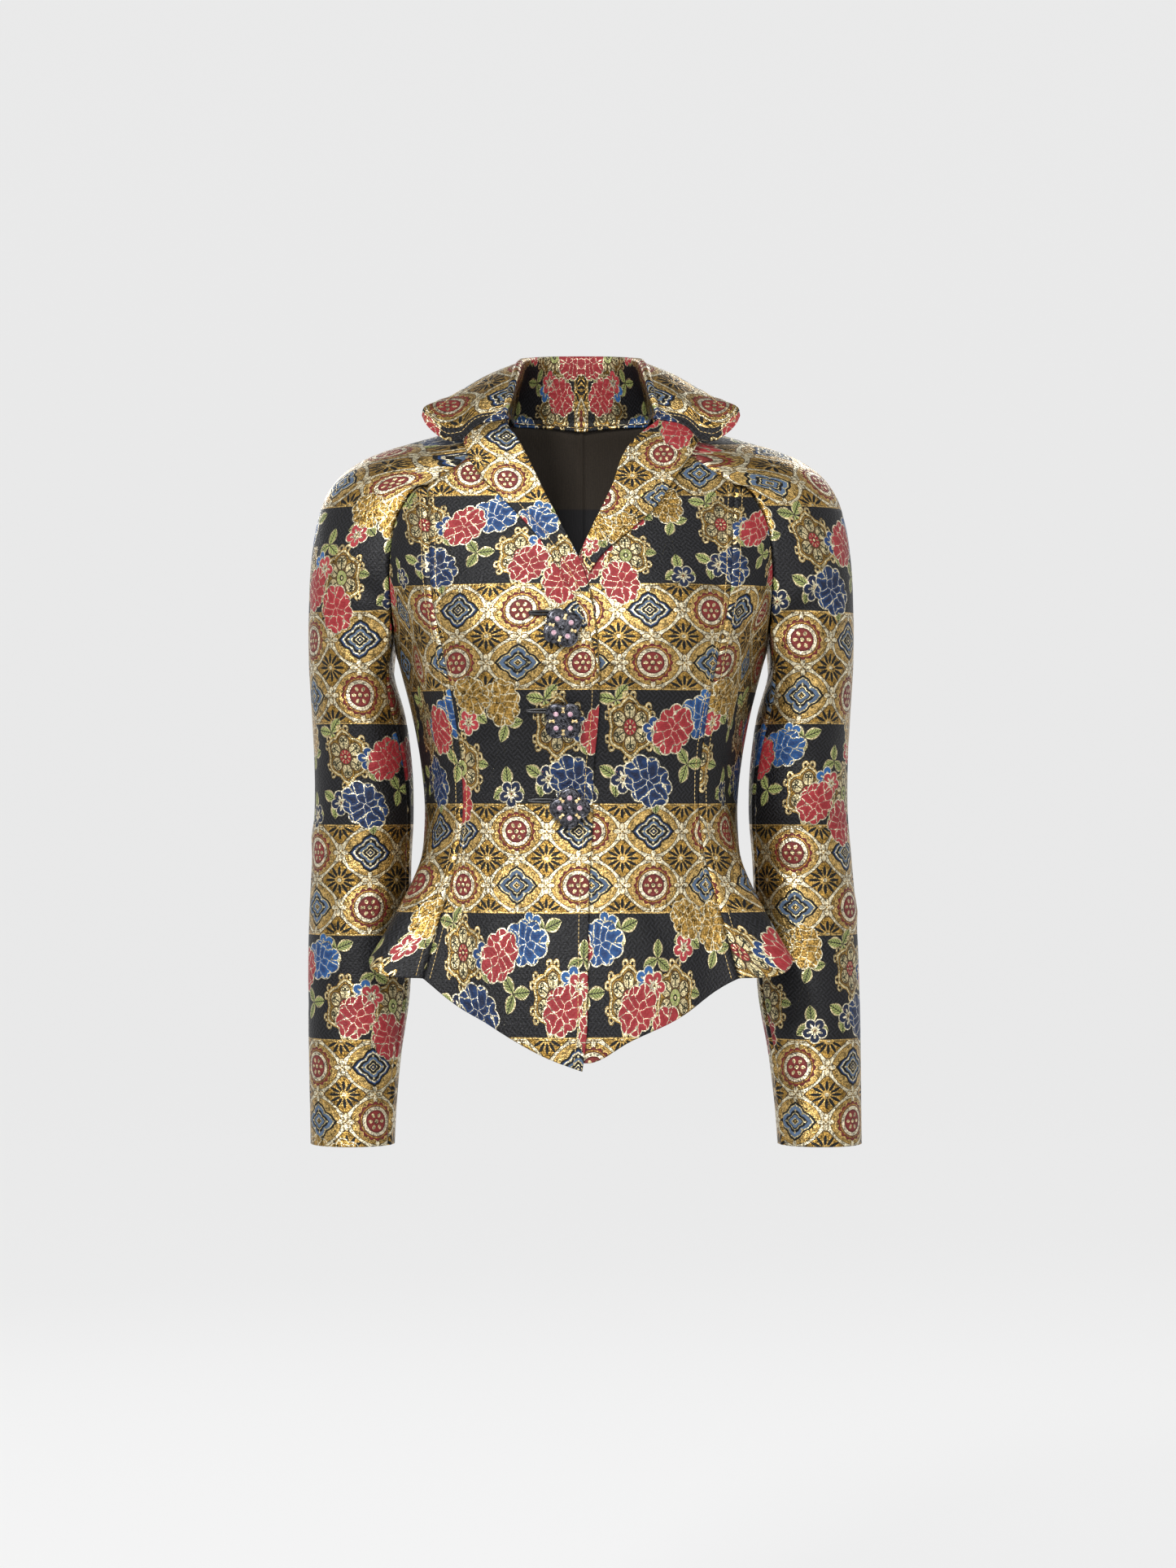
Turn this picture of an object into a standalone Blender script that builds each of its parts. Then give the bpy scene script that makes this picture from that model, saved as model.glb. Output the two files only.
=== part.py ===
"""Fitted brocade evening jacket, hollow as worn.

The jacket is built as the pieces that a tailor cuts and sews: fronts, side fronts, side backs and
backs with princess seams and a flared, pointed peplum, two-piece sleeves whose heads run over the
shoulder to the neck, turned lapels, one turned collar, and three shanked buttons.

Every panel is a grid between its own seams, laid on one body form, and built as a closed wall one
cloth thick. Panels that share a seam share its stations, meet in a mitre, and stay a seam gap apart.
The upper front has three buttonholes with bound edges, each a flat strip on its cloth.
Metres, +Z up, the front faces -Y. The origin is the middle of the neck, level with the shoulders.
"""

import math

import bpy
import numpy as np
from mathutils import Vector

CLOTH = 0.0018  # brocade, interlining and lining together
SEAM_GAP = 0.00034
LAYER_GAP = 0.0009  # between cloth that lies on cloth
MITRE_LIMIT = 0.72  # least cosine that a wall's mitre at a seam makes up for

BODY_ROWS = 20  # stations down every upright seam of the body
FRONT_COLUMNS = 8  # along the sleeve-head seam, from the neck to the front princess seam
SIDE_FRONT_COLUMNS = 10  # from the front princess seam to the side seam
BACK_NECK_COLUMNS = 4
BACK_COLUMNS = 9
SIDE_BACK_COLUMNS = 9
UNDERARM_COLUMNS = 3  # of a side panel's columns, those under the arm
HEAD_ROWS = FRONT_COLUMNS + SIDE_FRONT_COLUMNS - UNDERARM_COLUMNS
ARM_ROWS = 14
TOP_SLEEVE_COLUMNS = 12
LAPEL_COLUMNS = 4
LAPEL_ROWS = 14

# Body form: one horizontal section for each row
BODY_SQUARENESS = 2.4
BODY_SECTIONS = (
    # height, half width, front depth, back depth
    (0.060, 0.085, 0.020, 0.046),
    (0.030, 0.108, 0.034, 0.058),
    (0.013, 0.126, 0.047, 0.065),
    (0.000, 0.150, 0.058, 0.073),
    (-0.030, 0.172, 0.077, 0.087),
    (-0.060, 0.184, 0.092, 0.097),
    (-0.100, 0.190, 0.109, 0.105),
    (-0.140, 0.182, 0.121, 0.109),
    (-0.175, 0.168, 0.127, 0.108),
    (-0.210, 0.158, 0.126, 0.102),
    (-0.250, 0.148, 0.118, 0.094),
    (-0.290, 0.141, 0.109, 0.086),
    (-0.325, 0.138, 0.105, 0.082),
    (-0.355, 0.139, 0.106, 0.085),
    (-0.385, 0.142, 0.109, 0.093),
    (-0.415, 0.145, 0.113, 0.105),
    (-0.445, 0.147, 0.118, 0.119),
    (-0.475, 0.150, 0.122, 0.131),
    (-0.565, 0.160, 0.129, 0.150),
)

# Rounded fullness over the bust, which the princess seams shape
BUST_ANGLE, BUST_ANGLE_SPREAD = math.radians(-57.0), 0.36
BUST_HEIGHT, BUST_HEIGHT_SPREAD = -0.166, 0.047
BUST_FULLNESS = 0.013

# Flutes of the peplum, which pass in front of and behind the arm
PEPLUM_TOP = -0.345
PEPLUM_DROP = 0.108  # below its top, where a flute has its stated depth
FLUTE_GROWTH = 1.3
FLUTES = (
    # angle in degrees from the side towards the back, half width in degrees, depth
    (-23.0, 11.0, 0.048),
    (36.0, 12.0, 0.030),
    (66.0, 11.0, 0.010),
)

# Seams of the body, on the wearer's left: height, distance from the centre
FRONT_PRINCESS = (
    (-0.045, 0.1345),
    (-0.079, 0.1325),
    (-0.144, 0.1290),
    (-0.200, 0.1180),
    (-0.250, 0.1090),
    (-0.300, 0.1035),
    (-0.325, 0.1030),
    (-0.360, 0.1070),
    (-0.420, 0.1220),
    (-0.4720, 0.1360),
)
BACK_PRINCESS = (
    (-0.072, 0.1545),
    (-0.120, 0.1400),
    (-0.200, 0.1130),
    (-0.260, 0.0900),
    (-0.325, 0.0760),
    (-0.380, 0.0830),
    (-0.463, 0.1020),
)
SIDE_SEAM_ANGLE = math.radians(2.0)
SIDE_SEAM_TOP, SIDE_SEAM_HEM = -0.190, -0.450
NAPE_HEIGHT, CENTRE_BACK_HEM = 0.016, -0.470

# Places between two seams on the wearer's left: degrees from the side towards the back, height
SIDE_FRONT_HEM = ((-29.0, -0.4700), (-22.0, -0.4560), (-12.0, -0.4480))
SIDE_BACK_HEM = ((14.0, -0.4510), (26.0, -0.4560), (40.0, -0.4600))
BACK_HEM = ((65.0, -0.4660),)
BACK_NECK = ((66.0, 0.0185),)
FRONT_UNDERARM = ((-9.0, -0.1835),)
BACK_UNDERARM = ((9.0, -0.1835),)

# Closing edges, down the roll line of the neck first. A distance below zero is past the centre.
OVERLAP_EDGE = (
    (0.010, 0.0660),
    (-0.009, 0.0535),
    (-0.028, 0.0438),
    (-0.050, 0.0335),
    (-0.072, 0.0223),
    (-0.092, 0.0122),
    (-0.110, 0.0030),
    (-0.132, -0.0060),
    (-0.160, -0.0118),
    (-0.193, -0.0150),
    (-0.223, -0.0160),
    (-0.256, -0.0140),
    (-0.287, -0.0110),
    (-0.340, -0.0098),
    (-0.386, -0.0072),
    (-0.470, -0.0056),
    (-0.520, -0.0046),
    (-0.5500, -0.0010),
)
UNDERLAP_EDGE = (
    (0.010, 0.0660),
    (-0.013, 0.0422),
    (-0.053, 0.0245),
    (-0.083, 0.0098),
    (-0.107, -0.0010),
    (-0.132, -0.0105),
    (-0.160, -0.0170),
    (-0.200, -0.0200),
    (-0.300, -0.0200),
    (-0.450, -0.0190),
    (-0.500, -0.0150),
    (-0.5420, -0.0040),
)
OVERLAP_LIFT = CLOTH + 0.0016
OVERLAP_RAMP = (0.024, 0.056)  # from the centre, where the upper front leaves the body form

# Front hem, between the point and the princess seam: height, distance from the centre
OVERLAP_HEM = ((-0.5390, 0.0285), (-0.5112, 0.0786), (-0.4834, 0.1224))
UNDERLAP_HEM = ((-0.5430, 0.0060), (-0.5251, 0.0417), (-0.4973, 0.0967))

# Sleeve-head seams, from the neck to the notch where the underarm starts: height, distance from the centre
FRONT_HEAD_SEAM = (
    (0.010, 0.0660),
    (-0.004, 0.0800),
    (-0.022, 0.1010),
    (-0.037, 0.1220),
    (-0.045, 0.1345),
)
FRONT_ARMHOLE = (
    (-0.045, 0.1345),
    (-0.054, 0.1500),
    (-0.074, 0.1610),
    (-0.100, 0.1655),
    (-0.135, 0.1665),
    (-0.165, 0.1640),
)
BACK_HEAD_SEAM = ((0.020, 0.0600), (-0.004, 0.0900), (-0.030, 0.1220), (-0.052, 0.1430), (-0.072, 0.1545))
BACK_ARMHOLE = ((-0.072, 0.1545), (-0.100, 0.1625), (-0.135, 0.1650), (-0.162, 0.1640))

# Crest of the shoulder and of the outer arm: distance from the centre, depth, height
SHOULDER_CREST = (
    (0.0640, 0.0050, 0.0225),
    (0.0900, 0.0050, 0.0145),
    (0.1200, 0.0050, 0.0050),
    (0.1480, 0.0050, -0.0030),
    (0.1740, 0.0045, -0.0108),
    (0.1960, 0.0040, -0.0205),
    (0.2130, 0.0040, -0.0330),
    (0.2255, 0.0040, -0.0500),
    (0.2340, 0.0040, -0.0760),
    (0.2390, 0.0040, -0.1100),
    (0.2415, 0.0050, -0.1650),
)
HEAD_TURNS = (
    # share of the head seam, degrees from the crest to the front seam, to the back seam
    (0.00, 62.0, 62.0),
    (0.55, 76.0, 84.0),
    (0.85, 96.0, 110.0),
    (1.00, 112.0, 126.0),
)
ARM_TURNS = (
    # height, degrees from the outer side to the front seam, to the back seam
    (-0.165, 112.0, 126.0),
    (-0.200, 126.0, 136.0),
    (-0.245, 142.0, 146.0),
    (-0.290, 151.0, 152.0),
    (-0.626, 152.0, 152.0),
)
ARMPIT_FADE = 0.120  # how far down a ring is drawn towards the notches
UNDERARM_GAP = 0.0007  # between the under sleeve's top and the side panels that it lies against

# Sleeve: one ring for each row. A side's cuff leans away from the centre by its CUFF_LEAN.
ARM_SECTIONS = (
    # height, inner side, outer side, middle depth, half depth
    (-0.165, 0.1640, 0.2415, 0.005, 0.0570),
    (-0.200, 0.1672, 0.2412, 0.008, 0.0570),
    (-0.245, 0.1560, 0.2388, 0.012, 0.0560),
    (-0.290, 0.1500, 0.2368, 0.015, 0.0540),
    (-0.331, 0.1490, 0.2370, 0.018, 0.0520),
    (-0.374, 0.1515, 0.2400, 0.018, 0.0500),
    (-0.430, 0.1530, 0.2435, 0.017, 0.0485),
    (-0.490, 0.1545, 0.2448, 0.013, 0.0470),
    (-0.547, 0.1630, 0.2445, 0.006, 0.0430),
    (-0.590, 0.1672, 0.2438, -0.001, 0.0400),
    (-0.622, 0.1690, 0.2433, -0.007, 0.0380),
)
CUFF_HEIGHT = -0.622
LEAN_TOP = -0.330
CUFF_LEAN = {1: 0.0045, -1: -0.0045}

# Gorge, between lapel and collar, then the collar's leading edge: distance from the centre, depth, height
GORGE = ((0.0665, -0.0535, 0.0138), (0.0910, -0.0540, 0.0080), (0.1030, -0.0590, -0.0040))
COLLAR_LEADING_EDGE = (
    (0.1030, -0.0590, -0.0040),
    (0.1156, -0.0605, -0.0058),
    (0.1255, -0.0590, 0.0000),
    (0.1350, -0.0555, 0.0095),
    (0.1382, -0.0525, 0.0165),
)
COLLAR_NECK_STATIONS = 12  # from the gorge to the centre back
COLLAR_STAND_COLUMNS = 3
COLLAR_ROLL_COLUMNS = 4
COLLAR_LEADING_COLUMNS = 4
COLLAR_ROLL_RADIUS = 0.0034
COLLAR_ROLL_NARROW = 0.55  # share of that radius at the gorge
COLLAR_ROLL_REACH = 0.15  # share of the half collar over which the roll grows to its full radius
COLLAR_SPRING = 0.0035  # how far the fall bows out between its roll and its edge
COLLAR_SPRING_REACH = 0.20  # share of the half collar over which it grows
COLLAR_SPRING_OUT, COLLAR_SPRING_UP = 0.50, 0.85  # its way
COLLAR_SEAT = 0.0006  # over the neck seam
COLLAR_SETTLE = 0.42  # share of the half collar that the shape of its leading edge reaches
COLLAR_SETTLE_POWER = 1.5
COLLAR_BACK_STATIONS = 6  # of the neck seam, behind the sleeve head
COLLAR_ROLL = (
    # share of the half collar, distance from the centre, depth, height
    (0.00, 0.0665, -0.0520, 0.0140),
    (0.15, 0.0630, -0.0400, 0.0330),
    (0.35, 0.0570, -0.0150, 0.0580),
    (0.50, 0.0540, 0.0050, 0.0675),
    (0.70, 0.0455, 0.0330, 0.0725),
    (0.85, 0.0270, 0.0520, 0.0755),
    (1.00, 0.0000, 0.0590, 0.0765),
)
COLLAR_EDGE = (
    (0.00, 0.1382, -0.0525, 0.0165),
    (0.06, 0.1370, -0.0480, 0.0235),
    (0.15, 0.1290, -0.0390, 0.0290),
    (0.35, 0.1150, -0.0130, 0.0370),
    (0.50, 0.1050, 0.0080, 0.0415),
    (0.70, 0.0830, 0.0480, 0.0380),
    (0.85, 0.0480, 0.0760, 0.0270),
    (1.00, 0.0000, 0.0880, 0.0210),
)

# Lapels: height and distance from the centre of the free edge, below the gorge
OVERLAP_LAPEL_EDGE = (
    (-0.0040, 0.1030),
    (-0.0220, 0.0970),
    (-0.0403, 0.0850),
    (-0.0662, 0.0605),
    (-0.0963, 0.0350),
    (-0.1305, 0.0140),
    (-0.1500, 0.0035),
    (-0.1669, -0.0050),
    (-0.1900, -0.0118),
    (-0.2140, -0.0145),
)
UNDERLAP_LAPEL_EDGE = (
    (-0.0040, 0.1030),
    (-0.0190, 0.0960),
    (-0.0380, 0.0828),
    (-0.0704, 0.0608),
    (-0.0876, 0.0419),
    (-0.1089, 0.0182),
    (-0.1270, 0.0056),
)

# Lower ends of the roll side and the free side: least distance from the centre, height
OVERLAP_LAPEL_ENDS = ((-0.0200, -0.2150), (-0.0200, -0.2140))
UNDERLAP_LAPEL_ENDS = ((0.0020, -0.1145), (0.0070, -0.1245))
LAPEL_LIFT_TOP = 0.0066  # stand-off at the gorge, which fades to the layer gap at LAPEL_LIFT_END
LAPEL_LIFT_END = -0.075
LAPEL_ROLL_INSET = 0.0006  # between the roll line and the front's edge under it
LAPEL_GORGE_ROWS = 4  # over which a lapel leaves the gorge for the front

# Buttons: four-lobed, domed, on a shank
BUTTONS = (
    # distance from the centre, height, turn in degrees
    (-0.0168, -0.1730, 30.0),
    (-0.0148, -0.2490, 45.0),
    (-0.0094, -0.3253, 0.0),
)
BUTTONHOLES = (
    # distance from the centre of the end beside the shank, of the far end, height
    (0.0225, 0.0450, -0.1600),
    (0.0205, 0.0465, -0.2415),
    (0.0175, 0.0455, -0.3190),
)
BUTTONHOLE_WIDTH = 0.0052
BUTTONHOLE_SEAT = 0.0008
BUTTONHOLE_COLUMNS = 4
LOBES = 4
LOBE_RADIUS, LOBE_OFFSET, LOBE_RISE = 0.0090, 0.0086, 0.0034
LOBE_SEGMENTS, LOBE_RINGS = 14, 8
BUTTON_CORE_RADIUS = 0.0068
SHANK_RADIUS, SHANK_LENGTH, SHANK_SEGMENTS = 0.0032, 0.0052, 12
BUTTON_SEAT = 0.0010

# Finishes: colour, roughness, metallic
BROCADE = ((0.42, 0.29, 0.10, 1.0), 0.45, 0.3)
BINDING = ((0.012, 0.011, 0.012, 1.0), 0.40, 0.0)
GUNMETAL = ((0.10, 0.10, 0.11, 1.0), 0.35, 0.9)

CURVE_SAMPLES = 24  # for each given point of a seam


def along(table, place):
    """The further columns of a table at a place in its first column, on a smooth curve through the rows."""
    rows = np.asarray(table, float)
    if rows[0, 0] > rows[-1, 0]:
        rows = rows[::-1]
    at = float(np.clip(place, rows[0, 0], rows[-1, 0]))
    i = int(np.clip(np.searchsorted(rows[:, 0], at) - 1, 0, len(rows) - 2))
    x, y = rows[:, 0], rows[:, 1:]
    chord = (y[1:] - y[:-1]) / (x[1:] - x[:-1])[:, None]

    def slope(k):
        if k in (0, len(rows) - 1):
            return chord[min(k, len(rows) - 2)]
        before, after = x[k] - x[k - 1], x[k + 1] - x[k]
        return (chord[k - 1] * after + chord[k] * before) / (before + after)

    step = x[i + 1] - x[i]
    t = (at - x[i]) / step
    return (
        y[i] * (2 * t**3 - 3 * t**2 + 1)
        + slope(i) * step * (t**3 - 2 * t**2 + t)
        + y[i + 1] * (3 * t**2 - 2 * t**3)
        + slope(i + 1) * step * (t**3 - t**2)
    )


def spread(points, count):
    """count + 1 stations, evenly spaced along the smooth curve through some points."""
    points = np.asarray(points, float)
    chords = np.linalg.norm(np.diff(points, axis=0), axis=1)
    table = np.column_stack([np.concatenate([[0.0], np.cumsum(chords)]), points])
    samples = np.linspace(0, table[-1, 0], CURVE_SAMPLES * len(points))
    fine = np.array([along(table, s) for s in samples])
    length = np.concatenate([[0.0], np.cumsum(np.linalg.norm(np.diff(fine, axis=0), axis=1))])
    places = np.linspace(0, length[-1], count + 1)
    return np.column_stack([np.interp(places, length, fine[:, c]) for c in range(points.shape[1])])


def ease(t):
    t = min(1.0, max(0.0, t))
    return t * t * (3 - 2 * t)


def radius(angle, height):
    """Distance of the body form from its upright axis. Angle 0 is the wearer's left, -90 degrees front."""
    half_width, front, back = along(BODY_SECTIONS, height)
    depth = front if math.sin(angle) < 0 else back
    across = abs(math.cos(angle)) / half_width
    deep = abs(math.sin(angle)) / depth
    r = (across**BODY_SQUARENESS + deep**BODY_SQUARENESS) ** (-1 / BODY_SQUARENESS)
    own = angle if abs(angle) <= math.pi / 2 else math.copysign(math.pi, angle) - angle
    bust = ((own - BUST_ANGLE) / BUST_ANGLE_SPREAD) ** 2
    bust += ((height - BUST_HEIGHT) / BUST_HEIGHT_SPREAD) ** 2
    r += BUST_FULLNESS * math.exp(-bust)
    if height < PEPLUM_TOP:
        growth = ((PEPLUM_TOP - height) / PEPLUM_DROP) ** FLUTE_GROWTH
        for middle, half, depth in FLUTES:
            r += depth * growth * math.exp(-(((math.degrees(own) - middle) / half) ** 2))
    return r


def body_point(angle, height):
    r = radius(angle, height)
    return np.array([r * math.cos(angle), r * math.sin(angle), height])


def body_normal(angle, height):
    step = 0.002
    around = body_point(angle + step, height) - body_point(angle - step, height)
    up = body_point(angle, height + step) - body_point(angle, height - step)
    normal = np.cross(around, up)
    return normal / np.linalg.norm(normal)


def angle_at(distance, height, front=True):
    """The angle at which the body form is this far from the centre plane, on its front or its back."""
    low, high = 0.0, math.pi / 2
    for _ in range(40):
        middle = (low + high) / 2
        angle = -middle if front else middle
        if radius(angle, height) * math.cos(angle) > abs(distance):
            low = middle
        else:
            high = middle
    angle = low if distance >= 0 else math.pi - low
    return -angle if front else angle


def on_body(table, front=True):
    """A seam's (height, distance) rows as (angle, height) points."""
    return [(angle_at(distance, height, front), height) for height, distance in table]


def between(table):
    """A table of places in degrees as (angle, height) points."""
    return [(math.radians(angle), height) for angle, height in table]


def upright(table, count, front=True):
    """Stations down an upright seam, evenly spaced in height."""
    heights = np.linspace(table[0][0], table[-1][0], count + 1)
    return np.array([(angle_at(along(table, h)[0], h, front), h) for h in heights])


def patch(left, right, top, bottom):
    """Coons patch between four rows of stations. Sides run down, top and bottom from left to right."""
    left, right, top, bottom = (np.asarray(side, float) for side in (left, right, top, bottom))
    v = np.linspace(0, 1, len(left))[:, None, None]
    u = np.linspace(0, 1, len(top))[None, :, None]
    sides = (1 - u) * left[:, None] + u * right[:, None]
    ends = (1 - v) * top[None] + v * bottom[None]
    upper_corners = (1 - v) * ((1 - u) * top[0] + u * top[-1])
    lower_corners = v * ((1 - u) * bottom[0] + u * bottom[-1])
    return sides + ends - upper_corners - lower_corners


def shrink(grid, sides):
    """Moves the named sides of a grid of points in by half a seam gap."""
    grid = grid.copy()
    edges = {
        "left": ((slice(None), 0), (slice(None), 1)),
        "right": ((slice(None), -1), (slice(None), -2)),
        "top": ((0, slice(None)), (1, slice(None))),
        "bottom": ((-1, slice(None)), (-2, slice(None))),
    }
    for side in sides:
        edge, inside = edges[side]
        step = grid[inside] - grid[edge]
        grid[edge] += step / np.linalg.norm(step, axis=-1, keepdims=True) * SEAM_GAP / 2
    return grid


def material(name, finish):
    colour, roughness, metallic = finish
    made = bpy.data.materials.new(name)
    made.use_nodes = True
    shader = made.node_tree.nodes["Principled BSDF"]
    shader.inputs["Base Color"].default_value = colour
    shader.inputs["Roughness"].default_value = roughness
    shader.inputs["Metallic"].default_value = metallic
    return made


def station(point):
    """A name for a place, which panels that meet there share."""
    return tuple(np.round(np.asarray(point) * 1e6).astype(int) + 0)


def grid_normals(grid):
    """Outward normals of a grid whose rows run down and whose columns run to the wearer's left."""
    normals = np.cross(np.gradient(grid, axis=0), np.gradient(grid, axis=1))
    return normals / np.linalg.norm(normals, axis=-1, keepdims=True)


def cut(name, grid, side, seams, finish=BROCADE):
    """Plans one piece: its grid on its side of the body, and the edges that are sewn to a neighbour."""
    grid = np.array(grid, float)
    if side < 0:
        grid = grid[:, ::-1] * np.array([-1.0, 1.0, 1.0])
        other = {"left": "right", "right": "left"}
        seams = [other.get(seam, seam) for seam in seams]
    normals = grid_normals(grid)
    for point, normal in zip(grid.reshape(-1, 3), normals.reshape(-1, 3)):
        shared_normals.setdefault(station(point), []).append(normal)
    planned.append((name, grid, seams, finish))


def mitred_normal(point):
    """The normal at a station, between those of the panels that meet there, as long as the wall needs."""
    own = shared_normals[station(point)]
    normal = np.sum(own, axis=0)
    normal /= np.linalg.norm(normal)
    return normal / max(MITRE_LIMIT, min(float(normal @ one) for one in own))


def sew(name, grid, seams, finish):
    """Builds one planned piece as a closed wall: outer grid, inner grid, and the edges between them."""
    rows, columns = grid.shape[:2]
    normals = np.array([mitred_normal(point) for point in grid.reshape(-1, 3)])
    normals = normals.reshape(grid.shape)
    outer = shrink(grid, seams)
    points = np.concatenate([outer.reshape(-1, 3), (outer - CLOTH * normals).reshape(-1, 3)])
    inner = rows * columns
    faces = []
    for i in range(rows - 1):
        for j in range(columns - 1):
            corner = i * columns + j
            face = (corner, corner + columns, corner + columns + 1, corner + 1)
            faces.append(face)
            faces.append(tuple(inner + k for k in reversed(face)))
    rim = [i * columns for i in range(rows)]
    rim += [(rows - 1) * columns + j for j in range(1, columns)]
    rim += [i * columns + columns - 1 for i in range(rows - 2, -1, -1)]
    rim += list(range(columns - 2, 0, -1))
    for here, after in zip(rim, rim[1:] + rim[:1]):
        faces.append((after, here, inner + here, inner + after))
    mesh = bpy.data.meshes.new(name)
    mesh.from_pydata(points.tolist(), [], faces)
    mesh.materials.append(material(name, finish))
    jacket.objects.link(bpy.data.objects.new(name, mesh))


def form_points(plan, lift=None):
    """A grid of (angle, height) on the body form, moved out by a lift that may depend on the place."""
    made = np.zeros(plan.shape[:2] + (3,))
    for i, row in enumerate(plan):
        for j, (angle, height) in enumerate(row):
            made[i, j] = body_point(angle, height)
            if lift is not None:
                made[i, j] += body_normal(angle, height) * lift(made[i, j][0], height)
    return made


def overlap_lift(distance, height):
    """How far the upper front lies off the body form. Distance is from the centre, on its own side."""
    near, far = OVERLAP_RAMP
    return OVERLAP_LIFT * ease((far - distance) / (far - near))


def side_of_name(side):
    return "left" if side > 0 else "right"


def body_panels(side):
    """The four panels of one half, from the closing edge to the centre back."""
    name = side_of_name(side)
    upper = side < 0
    edge = upright(OVERLAP_EDGE if upper else UNDERLAP_EDGE, BODY_ROWS)
    princess = upright(FRONT_PRINCESS, BODY_ROWS)
    head = spread(on_body(FRONT_HEAD_SEAM), FRONT_COLUMNS)
    hem_line = on_body(OVERLAP_HEM if upper else UNDERLAP_HEM)
    hem = spread([edge[-1], *hem_line, princess[-1]], FRONT_COLUMNS)
    front = patch(edge, princess, head, hem)
    lift = overlap_lift if upper else None
    cut(f"front_{name}", form_points(front, lift), side, ("right", "top"))

    heights = np.linspace(SIDE_SEAM_TOP, SIDE_SEAM_HEM, BODY_ROWS + 1)
    seam = np.column_stack([np.full(BODY_ROWS + 1, SIDE_SEAM_ANGLE), heights])
    armhole = armhole_stations(FRONT_ARMHOLE, SIDE_FRONT_COLUMNS, True)
    hem = spread([princess[-1], *between(SIDE_FRONT_HEM), seam[-1]], SIDE_FRONT_COLUMNS)
    side_front = patch(princess, seam, armhole, hem)
    cut(f"side_front_{name}", form_points(side_front), side, ("left", "right", "top"))

    back_princess = upright(BACK_PRINCESS, BODY_ROWS, front=False)
    armhole = armhole_stations(BACK_ARMHOLE, SIDE_BACK_COLUMNS, False)[::-1]
    hem = spread([seam[-1], *between(SIDE_BACK_HEM), back_princess[-1]], SIDE_BACK_COLUMNS)
    side_back = patch(seam, back_princess, armhole, hem)
    cut(f"side_back_{name}", form_points(side_back), side, ("left", "right", "top"))

    heights = np.linspace(NAPE_HEIGHT, CENTRE_BACK_HEM, BODY_ROWS + 1)
    centre_back = np.column_stack([np.full(BODY_ROWS + 1, math.pi / 2), heights])
    back_head = spread(on_body(BACK_HEAD_SEAM, False), BACK_COLUMNS)
    neck = spread([back_head[0], *between(BACK_NECK), centre_back[0]], BACK_NECK_COLUMNS)
    top = np.concatenate([back_head[::-1], neck[1:]])
    hem_stations = BACK_COLUMNS + BACK_NECK_COLUMNS
    hem = spread([back_princess[-1], *between(BACK_HEM), centre_back[-1]], hem_stations)
    back = patch(back_princess, centre_back, top, hem)
    cut(f"back_{name}", form_points(back), side, ("left", "right", "top"))


def armhole_stations(table, columns, front):
    """From the princess seam down the armhole to its notch, then under the arm to the side seam."""
    down = spread(on_body(table, front), columns - UNDERARM_COLUMNS)
    middle = between(FRONT_UNDERARM if front else BACK_UNDERARM)
    under = spread([down[-1], *middle, (SIDE_SEAM_ANGLE, SIDE_SEAM_TOP)], UNDERARM_COLUMNS)
    return np.concatenate([down, under[1:]])


def arc(crest, end, turn, count):
    """From the crest to a seam: part of an ellipse that leaves the crest level and turns by degrees."""
    total = math.radians(turn)
    reach = end - crest
    deep = np.array([0.0, reach[1], 0.0])
    down = reach - deep
    made = []
    for angle in np.linspace(0, total, count + 1):
        across = math.sin(angle) / math.sin(total)
        fallen = (1 - math.cos(angle)) / (1 - math.cos(total))
        made.append(crest + deep * across + down * fallen)
    return np.array(made)


def arm_ring(height, side, notches):
    """A sleeve at a height: its outer and inner points, its two seam points, and their turns in degrees."""
    inner, outer, middle_depth, half_depth = along(ARM_SECTIONS, height)
    lean = CUFF_LEAN[side] * max(0.0, (LEAN_TOP - height) / (LEAN_TOP - CUFF_HEIGHT))
    fade = ease((FRONT_ARMHOLE[-1][0] - height) / ARMPIT_FADE)
    turns = along(ARM_TURNS, height)
    seams = []
    for notch, turn, first in zip(notches, turns, ARM_TURNS[0][1:]):
        angle = math.radians(turn)
        way = math.copysign(1.0, notch[1] - middle_depth)
        depth = abs(notch[1] - ARM_SECTIONS[0][3]) / math.sin(math.radians(first))
        depth += (half_depth - depth) * fade
        round_x = (inner + outer) / 2 + (outer - inner) / 2 * math.cos(angle)
        x = notch[0] + (round_x - notch[0]) * fade
        seams.append(np.array([x + lean, middle_depth + way * depth * math.sin(angle), height]))
    crest = np.array([outer + lean, middle_depth, height])
    inside = np.array([inner + lean, middle_depth, height])
    return crest, inside, seams, turns


def head_seam(head, armhole, columns, armhole_columns, front):
    """The sleeve head's front or back seam, from the neck to the notch. Its lower end stands off."""
    down = armhole_stations(armhole, armhole_columns, front)[1 : armhole_columns - UNDERARM_COLUMNS + 1]
    seam = np.concatenate([spread(on_body(head, front), columns), down])
    points = form_points(seam[None])[0]
    for k in range(columns + 1, len(seam)):
        share = (k - columns) / len(down)
        points[k] += body_normal(*seam[k]) * UNDERARM_GAP * ease(2 * share - 1)
    return points


def head_seams():
    """The sleeve head's front and back seams."""
    front = head_seam(FRONT_HEAD_SEAM, FRONT_ARMHOLE, FRONT_COLUMNS, SIDE_FRONT_COLUMNS, True)
    back = head_seam(BACK_HEAD_SEAM, BACK_ARMHOLE, BACK_COLUMNS, SIDE_BACK_COLUMNS, False)
    return front, back


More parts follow.
